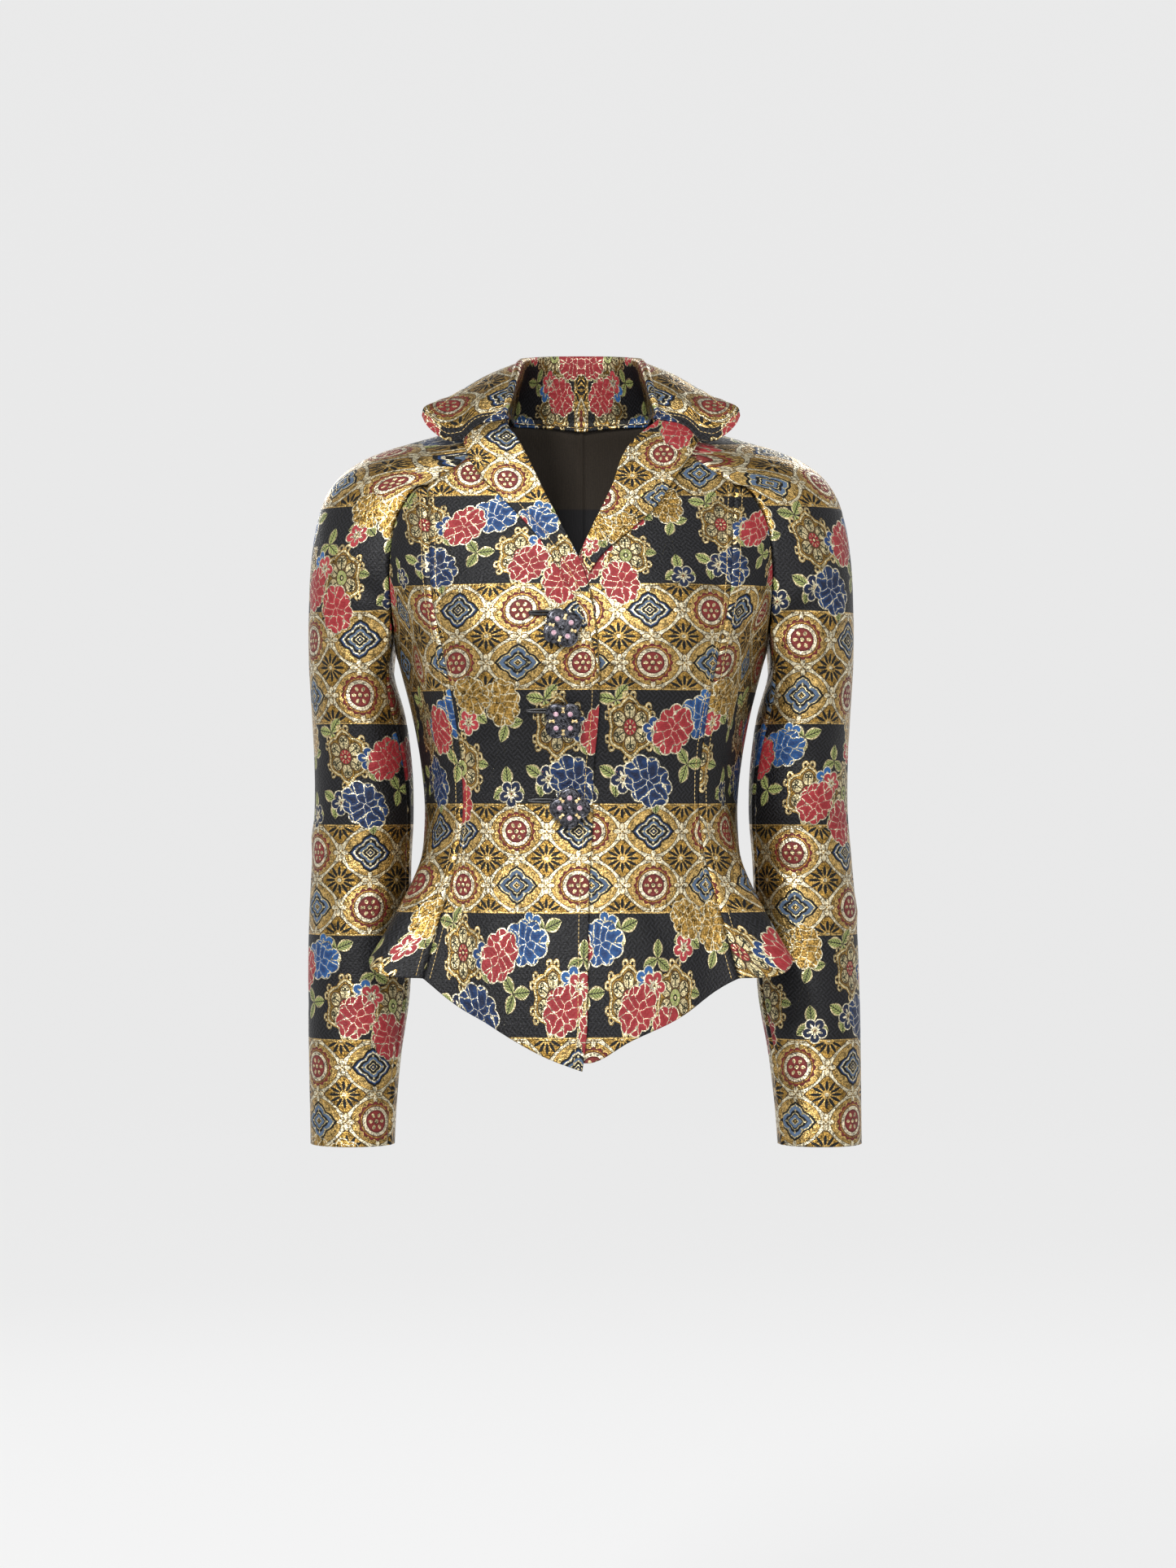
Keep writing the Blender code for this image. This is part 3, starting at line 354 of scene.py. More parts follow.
def angle_at(distance, height, front=True):
    """The angle at which the body form is this far from the centre plane, on its front or its back."""
    distance, height = np.broadcast_arrays(np.asarray(distance, float), np.asarray(height, float))
    low, high = np.zeros(distance.shape), np.full(distance.shape, math.pi / 2)
    for _ in range(BISECTIONS):
        middle = (low + high) / 2
        angle = -middle if front else middle
        wide = radius(angle, height) * np.cos(angle) > np.abs(distance)
        low, high = np.where(wide, middle, low), np.where(wide, high, middle)
    angle = np.where(distance >= 0, low, math.pi - low)
    return -angle if front else angle


def on_body(table, front=True):
    """A seam's (height, distance) rows as (angle, height) points."""
    rows = np.asarray(table, float)
    return np.column_stack([angle_at(rows[:, 1], rows[:, 0], front), rows[:, 0]])


def between(table):
    """A table of places in degrees as (angle, height) points."""
    return [(math.radians(angle), height) for angle, height in table]


def upright(table, count, front=True):
    """Stations down an upright seam, evenly spaced in height."""
    heights = np.linspace(table[0][0], table[-1][0], count + 1)
    return np.column_stack([angle_at(along(table, heights)[:, 0], heights, front), heights])


def patch(left, right, top, bottom):
    """Coons patch between four rows of stations. Sides run down, top and bottom from left to right."""
    left, right, top, bottom = (np.asarray(side, float) for side in (left, right, top, bottom))
    v = np.linspace(0, 1, len(left))[:, None, None]
    u = np.linspace(0, 1, len(top))[None, :, None]
    sides = (1 - u) * left[:, None] + u * right[:, None]
    ends = (1 - v) * top[None] + v * bottom[None]
    upper_corners = (1 - v) * ((1 - u) * top[0] + u * top[-1])
    lower_corners = v * ((1 - u) * bottom[0] + u * bottom[-1])
    return sides + ends - upper_corners - lower_corners


def overlap_lift(distance):
    """How far the upper front lies off the body form. Distance is from the centre, on its own side."""
    near, far = OVERLAP_RAMP
    return OVERLAP_LIFT * ease((far - distance) / (far - near))


def form_points(plan, lift=None):
    """A grid of (angle, height) on the body form, moved out by a lift that may depend on the place."""
    angle, height = plan[..., 0], plan[..., 1]
    made = body_point(angle, height)
    if lift is not None:
        made = made + body_normal(angle, height) * np.asarray(lift(made[..., 0], height))[..., None]
    return made


def armhole_stations(table, columns, front):
    """From the princess seam down the armhole to its notch, then under the arm to the side seam."""
    down = spread(on_body(table, front), columns - UNDERARM_COLUMNS)
    middle = between(FRONT_UNDERARM if front else BACK_UNDERARM)
    under = spread([down[-1], *middle, (SIDE_SEAM_ANGLE, SIDE_SEAM_TOP)], UNDERARM_COLUMNS)
    return np.concatenate([down, under[1:]])


def arc(crest, end, turn, count):
    """From the crest to a seam: part of an ellipse that leaves the crest level and turns by degrees."""
    total = math.radians(turn)
    reach = end - crest
    deep = np.array([0.0, reach[1], 0.0])
    down = reach - deep
    angle = np.linspace(0, total, count + 1)[:, None]
    fallen = (1 - np.cos(angle)) / (1 - math.cos(total))
    return crest + deep * np.sin(angle) / math.sin(total) + down * fallen


def arm_ring(height, side, notches):
    """A sleeve at a height: its outer and inner points, its two seam points, and their turns in degrees."""
    inner, outer, middle_depth, half_depth = along(ARM_SECTIONS, height)
    lean = CUFF_LEAN[side] * max(0.0, (LEAN_TOP - height) / (LEAN_TOP - CUFF_HEIGHT))
    fade = ease((FRONT_ARMHOLE[-1][0] - height) / ARMPIT_FADE)
    turns = along(ARM_TURNS, height)
    seams = []
    for notch, turn, first in zip(notches, turns, ARM_TURNS[0][1:]):
        angle = math.radians(turn)
        way = math.copysign(1.0, notch[1] - middle_depth)
        depth = abs(notch[1] - ARM_SECTIONS[0][3]) / math.sin(math.radians(first))
        depth += (half_depth - depth) * fade
        round_x = (inner + outer) / 2 + (outer - inner) / 2 * math.cos(angle)
        x = notch[0] + (round_x - notch[0]) * fade
        seams.append(np.array([x + lean, middle_depth + way * depth * math.sin(angle), height]))
    crest = np.array([outer + lean, middle_depth, height])
    inside = np.array([inner + lean, middle_depth, height])
    return crest, inside, seams, turns


def head_seam(head, armhole, columns, armhole_columns, front):
    """The sleeve head's front or back seam, from the neck to the notch. Its lower end stands off."""
    down = armhole_stations(armhole, armhole_columns, front)[1 : armhole_columns - UNDERARM_COLUMNS + 1]
    seam = np.concatenate([spread(on_body(head, front), columns), down])
    points = form_points(seam)
    share = (np.arange(columns + 1, len(seam)) - columns) / len(down)
    stand_off = UNDERARM_GAP * ease(2 * share - 1)
    points[columns + 1 :] += body_normal(*seam[columns + 1 :].T) * stand_off[:, None]
    return points


def head_seams():
    """The sleeve head's front and back seams."""
    front = head_seam(FRONT_HEAD_SEAM, FRONT_ARMHOLE, FRONT_COLUMNS, SIDE_FRONT_COLUMNS, True)
    back = head_seam(BACK_HEAD_SEAM, BACK_ARMHOLE, BACK_COLUMNS, SIDE_BACK_COLUMNS, False)
    return front, back


def sleeve_rows(side):
    """Rows of the top sleeve from the neck to the cuff, each from front seam over the arm to back seam."""
    front, back = head_seams()
    crest = spread(SHOULDER_CREST, HEAD_ROWS)
    half = TOP_SLEEVE_COLUMNS // 2
    rows = []
    for k in range(HEAD_ROWS + 1):
        turns = along(HEAD_TURNS, k / HEAD_ROWS)
        to_front, to_back = (arc(crest[k], seam[k], turn, half) for seam, turn in zip((front, back), turns))
        rows.append(np.concatenate([to_front[::-1], to_back[1:]]))
    for height in np.linspace(FRONT_ARMHOLE[-1][0], CUFF_HEIGHT, ARM_ROWS + 1)[1:]:
        outside, _, seams, turns = arm_ring(height, side, (front[-1], back[-1]))
        to_front, to_back = (arc(outside, seam, turn, half) for seam, turn in zip(seams, turns))
        rows.append(np.concatenate([to_front[::-1], to_back[1:]]))
    return np.array(rows)


def underarm_row(inside, seams, turns):
    """Across the inner side of the arm, from the front seam to the back seam."""
    made = []
    for share in np.linspace(-1, 1, 2 * UNDERARM_COLUMNS + 1):
        seam, turn = (seams[0], turns[0]) if share < 0 else (seams[1], turns[1])
        reach = math.radians(180 - turn)
        across = (math.cos(share * reach) - math.cos(reach)) / (1 - math.cos(reach))
        deep = math.sin(abs(share) * reach) / math.sin(reach)
        x = seam[0] + (inside[0] - seam[0]) * across
        y = inside[1] + (seam[1] - inside[1]) * deep
        made.append([x, y, inside[2]])
    return np.array(made)


def underarm_rows(side):
    """Rows of the under sleeve, each from its front seam to its back seam."""
    notches = [seam[-1] for seam in head_seams()]
    front = armhole_stations(FRONT_ARMHOLE, SIDE_FRONT_COLUMNS, True)[-UNDERARM_COLUMNS - 1 :]
    back = armhole_stations(BACK_ARMHOLE, SIDE_BACK_COLUMNS, False)[-UNDERARM_COLUMNS - 1 :]
    armhole = np.array([*front, *back[-2::-1]])
    rows = [form_points(armhole, lambda distance, height: UNDERARM_GAP + 0 * height)]
    for height in np.linspace(FRONT_ARMHOLE[-1][0], CUFF_HEIGHT, ARM_ROWS + 1)[1:]:
        rows.append(underarm_row(*arm_ring(height, side, notches)[1:]))
    return np.array(rows)


def lapel_side(line, end, top, inset):
    """Stations down one side of a lapel, which follows a line and stays beyond its end's distance."""
    nearest, bottom = end
    heights = np.linspace(top, bottom, LAPEL_ROWS + 1)
    distances = np.maximum(nearest, along(line, heights)[:, 0] + inset)
    return np.column_stack([angle_at(distances, heights), heights])


def lapel_points(side):
    """The turned front edge, from the gorge down to where it rolls into the closing edge."""
    upper = side < 0
    gorge = spread(GORGE, LAPEL_COLUMNS)
    gorge_plan = np.column_stack([angle_at(gorge[:, 0], gorge[:, 2]), gorge[:, 2]])
    roll_end, edge_end = OVERLAP_LAPEL_ENDS if upper else UNDERLAP_LAPEL_ENDS
    roll_line = OVERLAP_EDGE if upper else UNDERLAP_EDGE
    edge_line = OVERLAP_LAPEL_EDGE if upper else UNDERLAP_LAPEL_EDGE
    roll = lapel_side(roll_line, roll_end, gorge[0][2], LAPEL_ROLL_INSET)
    edge = lapel_side(edge_line, edge_end, gorge[-1][2], 0.0)
    roll[0], edge[0] = gorge_plan[0], gorge_plan[-1]
    plan = patch(roll, edge, gorge_plan, spread([roll[-1], edge[-1]], LAPEL_COLUMNS))

    def lift(distance, height):
        stand_off = LAPEL_LIFT_TOP * ease((height - LAPEL_LIFT_END) / (gorge[0][2] - LAPEL_LIFT_END))
        base = overlap_lift(distance) if upper else 0.0
        return base + LAYER_GAP + CLOTH + stand_off

    points = form_points(plan, lift)
    fade = np.linspace(1, 0, LAPEL_GORGE_ROWS)[:, None, None] ** 2
    points[:LAPEL_GORGE_ROWS] += fade * (gorge - points[0])[None]
    return points


def collar_half(side):
    """Stations from the gorge to the centre back, each from the neck seam over the roll to the edge."""
    head = sleeve_rows(side)[0]
    start = on_body(BACK_HEAD_SEAM[:1], False)[0]
    neck_plan = spread([start, *between(BACK_NECK), (math.pi / 2, NAPE_HEIGHT)], COLLAR_BACK_STATIONS)
    neck = np.concatenate([head, body_point(*neck_plan[1:].T)])
    seam = spread(neck[::FINE], COLLAR_NECK_STATIONS) + np.array([0.0, 0.0, COLLAR_SEAT])
    free = spread(COLLAR_LEADING_EDGE, COLLAR_LEADING_COLUMNS)
    leading = np.concatenate([spread(GORGE, LAPEL_COLUMNS), free[1:]])
    shares = np.linspace(0, 1, COLLAR_NECK_STATIONS + 1)
    roll = along(COLLAR_ROLL, shares)
    edge = along(COLLAR_EDGE, shares)
    fall_columns = LAPEL_COLUMNS + COLLAR_LEADING_COLUMNS
    outward = (edge - roll) * LEVEL
    outward /= np.linalg.norm(outward, axis=1, keepdims=True)
    start = roll + outward * COLLAR_ROLL_RADIUS
    start[0] = leading[0]
    w = np.linspace(0, 1, fall_columns + 1)[:, None]
    up = np.array([0.0, 0.0, 1.0])
    dip = leading - (start[0] + (edge[0] - start[0]) * w)
    stations = []
    for k, share in enumerate(shares):
        fall = start[k] + (edge[k] - start[k]) * w
        fall += dip * max(0.0, 1 - share / COLLAR_SETTLE) ** COLLAR_SETTLE_POWER
        bow = COLLAR_SPRING * ease(share / COLLAR_SPRING_REACH) * np.sin(np.pi * w)
        fall += bow * (outward[k] * COLLAR_SPRING_OUT + up * COLLAR_SPRING_UP)
        growth = ease(share / COLLAR_ROLL_REACH)
        size = COLLAR_ROLL_RADIUS * (COLLAR_ROLL_NARROW + (1 - COLLAR_ROLL_NARROW) * growth)
        middle = fall[0] - outward[k] * size
        turns = np.linspace(math.pi, 0, COLLAR_ROLL_COLUMNS + 1)
        arch = [middle + size * (outward[k] * math.cos(a) + up * math.sin(a)) for a in turns]
        shares_up = np.linspace(0, 1, COLLAR_STAND_COLUMNS + 1)
        stand = [seam[k] + (arch[0] - seam[k]) * t for t in shares_up]
        stations.append(np.array(stand[:-1] + arch[:-1] + list(fall)))
    return np.array(stations)


# Creases on the body, listed one by one: side (1 is the wearer's left), two ends as degrees from the side
# towards the back and height, half width, depth (below zero is a trough), bow
BODY_CREASES = (
    (1, -48, -0.118, -20, -0.205, 0.0075, -0.0016, 0.006),
    (1, -40, -0.110, -14, -0.190, 0.0065, 0.0012, 0.004),
    (1, -62, -0.262, -18, -0.292, 0.0060, -0.0013, 0.004),
    (1, -50, -0.285, -8, -0.318, 0.0055, -0.0015, -0.005),
    (1, -70, -0.318, -22, -0.330, 0.0050, 0.0009, 0.003),
    (1, -80, -0.352, -34, -0.372, 0.0070, -0.0010, 0.005),
    (1, -74, -0.196, -86, -0.246, 0.0070, -0.0009, 0.003),
    (1, -66, -0.385, -52, -0.470, 0.0110, -0.0016, 0.004),
    (-1, -46, -0.108, -22, -0.186, 0.0070, -0.0014, 0.005),
    (-1, -54, -0.132, -16, -0.214, 0.0085, -0.0017, 0.007),
    (-1, -72, -0.252, -26, -0.276, 0.0055, -0.0012, -0.004),
    (-1, -58, -0.290, -12, -0.306, 0.0065, -0.0016, 0.004),
    (-1, -84, -0.330, -40, -0.322, 0.0050, 0.0008, 0.004),
    (-1, -76, -0.362, -44, -0.392, 0.0080, -0.0011, 0.006),
    (-1, -62, -0.396, -56, -0.462, 0.0100, -0.0015, -0.004),
    (1, 20, -0.205, 58, -0.262, 0.0090, -0.0016, 0.006),
    (1, 14, -0.282, 74, -0.300, 0.0070, -0.0018, 0.005),
    (1, 30, -0.318, 86, -0.326, 0.0060, -0.0013, -0.004),
    (1, 48, -0.096, 40, -0.176, 0.0110, -0.0014, 0.005),
    (-1, 16, -0.214, 50, -0.244, 0.0080, -0.0014, 0.005),
    (-1, 12, -0.268, 66, -0.291, 0.0075, -0.0019, -0.005),
    (-1, 34, -0.309, 82, -0.317, 0.0065, -0.0012, 0.004),
    (-1, 54, -0.088, 42, -0.160, 0.0100, -0.0013, -0.004),
)
BODY_CHART_RADIUS = 0.145  # metres for a radian in that chart
CENTRE_CALM = (0.028, 0.050)  # from the centre, where creases start and reach their depth

# Creases on the sleeves: side, two ends as degrees round the arm (0 outside, -90 front) and height,
# half width, depth, bow
SLEEVE_CREASES = (
    (1, -150, -0.205, -62, -0.128, 0.0075, -0.0030, 0.006),
    (1, -138, -0.232, -40, -0.168, 0.0065, -0.0024, -0.007),
    (1, -120, -0.178, -70, -0.106, 0.0060, 0.0016, 0.004),
    (1, -146, -0.300, -20, -0.272, 0.0060, -0.0020, 0.006),
    (1, -150, -0.342, -36, -0.338, 0.0070, -0.0030, -0.006),
    (1, -140, -0.372, -64, -0.402, 0.0060, -0.0022, 0.005),
    (1, -96, -0.452, -10, -0.486, 0.0085, -0.0013, 0.008),
    (1, -70, -0.392, 14, -0.420, 0.0100, 0.0012, -0.006),
    (1, -132, -0.540, -58, -0.566, 0.0070, -0.0014, 0.004),
    (1, 60, -0.196, 150, -0.236, 0.0080, -0.0028, -0.006),
    (1, 44, -0.330, 138, -0.352, 0.0075, -0.0023, 0.006),
    (1, 70, -0.372, 146, -0.366, 0.0065, 0.0015, 0.004),
    (-1, -148, -0.196, -74, -0.116, 0.0080, -0.0032, 0.007),
    (-1, -140, -0.246, -48, -0.192, 0.0070, -0.0022, -0.006),
    (-1, -112, -0.160, -56, -0.092, 0.0065, 0.0014, 0.004),
    (-1, -150, -0.314, -30, -0.300, 0.0070, -0.0026, 0.007),
    (-1, -144, -0.352, -52, -0.366, 0.0055, -0.0021, -0.005),
    (-1, -136, -0.384, -24, -0.430, 0.0075, -0.0019, 0.008),
    (-1, -88, -0.470, -4, -0.500, 0.0090, -0.0012, -0.007),
    (-1, -60, -0.350, 20, -0.362, 0.0105, 0.0013, 0.006),
    (-1, -128, -0.556, -66, -0.574, 0.0065, -0.0013, 0.004),
    (-1, 56, -0.186, 148, -0.224, 0.0085, -0.0026, 0.006),
    (-1, 50, -0.342, 140, -0.346, 0.0070, -0.0025, -0.005),
    (-1, 74, -0.300, 150, -0.318, 0.0060, 0.0013, 0.004),
)
SLEEVE_CHART_RADIUS = 0.044
CREASE_GAIN = 1.45  # over the depths in both tables
CREASE_TAPER = 1.3  # how fast a crease fades at its ends
SEAM_CALM = 0.014  # from a sewn side, where creases reach their full depth

# A sewn side turns in: depth and reach of its groove, then height, place and reach of the ridge beside it
GROOVE_DEPTH, GROOVE_REACH = 0.0013, 0.0016
RIDGE_HEIGHT, RIDGE_PLACE, RIDGE_REACH = 0.0004, 0.0042, 0.0022
EDGE_STEPS = (0.0007, 0.0014, 0.0022, 0.0032, 0.0045, 0.0065)  # stations beside every side
EDGE_CLEAR = 1.25  # times the last of them, inside which no evenly spaced station stays
SEAM_SQUARE = 0.005  # from a seam, over which the cloth's thickness turns square to its form
RIM_BULGE = 0.28  # of the cloth's thickness, by which its cut edge is rounded out
CLOTH_CHART = "cloth"


def crease_relief(creases, side, degrees, height, chart_radius):
    """How far creases move the cloth out, on a chart that is degrees by height."""
    place = np.stack([np.radians(degrees) * chart_radius, height], axis=-1)
    relief = np.zeros(height.shape)
    for own_side, start_turn, start_height, end_turn, end_height, half_width, depth, bow in creases:
        if own_side != side:
            continue
        start = np.array([math.radians(start_turn) * chart_radius, start_height])
        way = np.array([math.radians(end_turn) * chart_radius, end_height]) - start
        length = np.linalg.norm(way)
        share = (place - start) @ way / length**2
        off = ((place - start) @ np.array([-way[1], way[0]])) / length
        off = off - bow * (1 - (2 * share - 1) ** 2)
        taper = np.exp(-CREASE_TAPER * (2 * share - 1) ** 4)
        relief += CREASE_GAIN * depth * taper * np.exp(-((off / half_width) ** 2))
    return relief


def body_relief(points, side):
    angle = np.degrees(np.arctan2(points[..., 1], np.abs(points[..., 0])))
    near, far = CENTRE_CALM
    calm = ease((np.abs(points[..., 0]) - near) / (far - near))
    calm = np.where(points[..., 1] > 0, 1.0, calm)
    return calm * crease_relief(BODY_CREASES, side, angle, points[..., 2], BODY_CHART_RADIUS)


def sleeve_relief(points, side):
    inner, outer, depth, _ = np.moveaxis(along(ARM_SECTIONS, points[..., 2]), -1, 0)
    angle = np.degrees(np.arctan2(points[..., 1] - depth, np.abs(points[..., 0]) - (inner + outer) / 2))
    return crease_relief(SLEEVE_CREASES, side, angle, points[..., 2], SLEEVE_CHART_RADIUS)


def stations(count, size):
    """Shares across a piece: evenly spaced, and closer together within a few millimetres of its sides."""
    even = np.linspace(0, 1, count + 1)
    steps = np.array(EDGE_STEPS) / size
    clear = steps[-1] * EDGE_CLEAR
    inside = even[(even > clear) & (even < 1 - clear)]
    return np.concatenate([[0.0], steps, inside, 1 - steps[::-1], [1.0]])


def resample(grid, rows, columns):
    """A grid at other shares down and across."""
    down = np.linspace(0, 1, grid.shape[0])
    across = np.linspace(0, 1, grid.shape[1])
    i = np.clip(np.searchsorted(down, rows) - 1, 0, len(down) - 2)
    t = ((rows - down[i]) / (down[i + 1] - down[i]))[:, None, None]
    grid = grid[i] * (1 - t) + grid[i + 1] * t
    j = np.clip(np.searchsorted(across, columns) - 1, 0, len(across) - 2)
    t = ((columns - across[j]) / (across[j + 1] - across[j]))[None, :, None]
    return grid[:, j] * (1 - t) + grid[:, j + 1] * t


def grid_normals(grid):
    """Outward normals of a grid whose rows run down and whose columns run to the wearer's left."""
    normals = np.cross(np.gradient(grid, axis=0), np.gradient(grid, axis=1))
    return normals / np.linalg.norm(normals, axis=-1, keepdims=True)


def side_distances(grid):
    """Distance of every station from the piece's left, right, top and bottom sides."""
    across = lengths(np.swapaxes(grid, 0, 1)).T
    down = lengths(grid)
    return {
        "left": across,
        "right": across[:, -1:] - across,
        "top": down,
        "bottom": down[-1:] - down,
    }


def mirrored(grid, side):
    """A grid of the wearer's left, or its mirror image for the right with columns running the same way."""
    return grid if side > 0 else grid[:, ::-1] * MIRROR


def mirrored_piece(points, cloth, side):
    """A piece's points and its cloth chart, both for the side that it is worn on."""
    return mirrored(points, side), cloth if side > 0 else cloth[:, ::-1]


def swapped(sides, side):
    """The names of a piece's sides once it is mirrored."""
    other = {"left": "right", "right": "left"}
    return [name if side > 0 else other.get(name, name) for name in sides]


def add_mesh(name, points, faces, materials, looks, smooth=True):
    """An object in the scene. looks are the faces' places in the list of materials."""
    mesh = bpy.data.meshes.new(name)
    mesh.from_pydata(points, [], faces)
    for look in materials:
        mesh.materials.append(look)
    mesh.polygons.foreach_set("material_index", looks)
    mesh.polygons.foreach_set("use_smooth", [smooth] * len(faces))
    mesh.update()
    made = bpy.data.objects.new(name, mesh)
    bpy.context.scene.collection.objects.link(made)
    return made


class Piece:
    """One cut of cloth: its calm grid, its laid grid with creases and turned seams, and its cloth chart."""

    def __init__(self, name, calm, cloth, sewn, relief):
        self.name = name
        self.calm = calm
        self.cloth = cloth
        self.distances = side_distances(calm)
        lift = relief
        for side in sewn:
            lift = lift * ease(self.distances[side] / SEAM_CALM)
        for side in sewn:
            distance = self.distances[side]
            lift = lift - GROOVE_DEPTH * np.exp(-((distance / GROOVE_REACH) ** 2))
            lift = lift + RIDGE_HEIGHT * np.exp(-(((distance - RIDGE_PLACE) / RIDGE_REACH) ** 2))
        normals = grid_normals(calm)
        self.laid = calm + normals * lift[..., None]
        self.outward = grid_normals(self.laid)
        inset = np.min([self.distances[side] for side in sewn], axis=0)
        near = ease(inset / SEAM_SQUARE)[..., None]
        through = normals * (1 - near) + self.outward * near
        self.through = through / np.linalg.norm(through, axis=-1, keepdims=True)

    def area(self):
        across = np.diff(self.calm, axis=1)[:-1]
        down = np.diff(self.calm, axis=0)[:, :-1]
        return float(np.linalg.norm(np.cross(across, down), axis=-1).sum())

    def flat(self):
        width = float(self.distances["left"][:, -1].max())
        length = float(self.distances["top"][-1].max())
        return width, length

    def build(self, materials):
        """The closed shell: outer face, inner face, and a rounded rim between them."""
        rows, columns = self.laid.shape[:2]
        outer = self.laid.reshape(-1, 3)
        inner = outer - WALL * self.through.reshape(-1, 3)
        chart = self.cloth.reshape(-1, 2)
        rim = [i * columns for i in range(rows)]
        rim += [(rows - 1) * columns + j for j in range(1, columns)]
        rim += [i * columns + columns - 1 for i in range(rows - 2, -1, -1)]
        rim += list(range(columns - 2, 0, -1))
        centre = []
        for before, here, after in zip(rim[-1:] + rim[:-1], rim, rim[1:] + rim[:1]):
            out = np.cross(outer[after] - outer[before], self.outward.reshape(-1, 3)[here])
            out /= max(NO_LENGTH, np.linalg.norm(out))
            centre.append((outer[here] + inner[here]) / 2 + out * WALL * RIM_BULGE)
        count = len(outer)
        points = np.concatenate([outer, inner, centre])
        charts = np.concatenate([chart, chart, chart[rim]])
        faces, looks = [], []
        for i in range(rows - 1):
            for j in range(columns - 1):
                corner = i * columns + j
                face = (corner, corner + columns, corner + columns + 1, corner + 1)
                faces.append(face)
                faces.append(tuple(count + k for k in reversed(face)))
                looks += [0, 1]
        for k in range(len(rim)):
            here, after = rim[k], rim[(k + 1) % len(rim)]
            middle, following = 2 * count + k, 2 * count + (k + 1) % len(rim)
            faces.append((after, here, middle, following))
            faces.append((following, middle, count + here, count + after))
            looks += [0, 0]
        made = add_mesh(f"{self.name}_cloth", points.tolist(), faces, materials, looks)
        layer = made.data.uv_layers.new(name=CLOTH_CHART)
        corners = np.empty(len(made.data.loops), dtype=int)
        made.data.loops.foreach_get("vertex_index", corners)
        layer.data.foreach_set("uv", charts[corners].ravel())
        return made


# Where the bands run on the body and on the sleeves: height, distance down the cloth from the top of
# the first black band
BODY_BANDS = (
    (0.0800, -0.1700), (0.0200, -0.0950), (-0.0551, 0.0000), (-0.1340, 0.0930), (-0.2239, 0.1910),
    (-0.3226, 0.2840), (-0.4151, 0.3820), (-0.5220, 0.4750), (-0.5700, 0.5200),
)
SLEEVE_BANDS = (
    (-0.0619, 0.0000), (-0.1548, 0.0930), (-0.2520, 0.1910), (-0.3413, 0.2840), (-0.4374, 0.3820),
    (-0.5296, 0.4750), (-0.6242, 0.5730),
)


# The brocade: a chart drawn with nodes on the cloth coordinates

BAND_GOLD, BAND_BLACK = 0.098, 0.093
REPEAT_DOWN = BAND_GOLD + BAND_BLACK
REPEAT_ACROSS = 0.226
CELL_ACROSS, CELL_DOWN = REPEAT_ACROSS / 4, BAND_GOLD / 2


def tint(code):
    """A linear colour from its usual six-figure code, by the standard curve of screens."""
    parts = [int(code[k : k + 2], 16) / 255 for k in (0, 2, 4)]
    return tuple((c / 12.92 if c <= 0.04045 else ((c + 0.055) / 1.055) ** 2.4) for c in parts) + (1.0,)


GOLD, GOLD_LIGHT, GOLD_DEEP, BROWN = tint("BE9A57"), tint("CBA968"), tint("AC8744"), tint("4A3620")
OLIVE_GOLD, CREAM, IVORY = tint("9C7A3C"), tint("DCCB9C"), tint("EADFBE")
BLACK, FRET, RED, DARK_RED = tint("060607"), tint("212125"), tint("962A2E"), tint("5F1E1B")
MAROON = tint("7C2C28")
BLUE, BRIGHT_BLUE, NAVY, SLATE = tint("1F3F70"), tint("2F629E"), tint("17233F"), tint("566A84")
LEAF, LEAF_DARK, ROSE = tint("9FA763"), tint("20220F"), tint("AC3A40")
REVERSE_BLACK, REVERSE_GOLD = tint("131214"), tint("2C241A")
CLEAR = (0.0, 0.0, 0.0, 0.0)


class Field:
    """A number that varies over the cloth, with arithmetic that makes nodes."""

    tree = None

    def __init__(self, socket):
        self.socket = socket

    def __add__(self, other):
        return maths("ADD", self, other)

    def __sub__(self, other):
        return maths("SUBTRACT", self, other)

    def __mul__(self, other):
        return maths("MULTIPLY", self, other)

    def __truediv__(self, other):
        return maths("DIVIDE", self, other)

    def __rsub__(self, other):
        return maths("SUBTRACT", other, self)

    __radd__ = __add__
    __rmul__ = __mul__


def node(kind, inputs=(), **settings):
    """A node with its settings, whose inputs are set or linked in order."""
    made = Field.tree.nodes.new(kind)
    for name, value in settings.items():
        setattr(made, name, value)
    for key, value in inputs.items() if isinstance(inputs, dict) else enumerate(inputs):
        if value is None:
            continue
        if isinstance(value, Field):
            Field.tree.links.new(value.socket, made.inputs[key])
        else:
            made.inputs[key].default_value = value
    return made


def maths(operation, *values):
    return Field(node("ShaderNodeMath", values, operation=operation).outputs[0])


def absolute(a):
    return maths("ABSOLUTE", a)


def least(a, b):
    return maths("MINIMUM", a, b)


def most(a, b):
    return maths("MAXIMUM", a, b)


def below(a, limit):
    return maths("LESS_THAN", a, limit)


def cosine(a):
    return maths("COSINE", a)


def sine(a):
    return maths("SINE", a)


def fold(a, size):
    """A zigzag of a, from 0 to size and back."""
    return maths("PINGPONG", a, size)


def vector(x, y, z=0.0):
    return Field(node("ShaderNodeCombineXYZ", (x, y, z)).outputs[0])


def parts_of(place):
    outputs = node("ShaderNodeSeparateXYZ", (place,)).outputs
    return Field(outputs[0]), Field(outputs[1])


def reach(place):
    return Field(node("ShaderNodeVectorMath", (place,), operation="LENGTH").outputs["Value"])


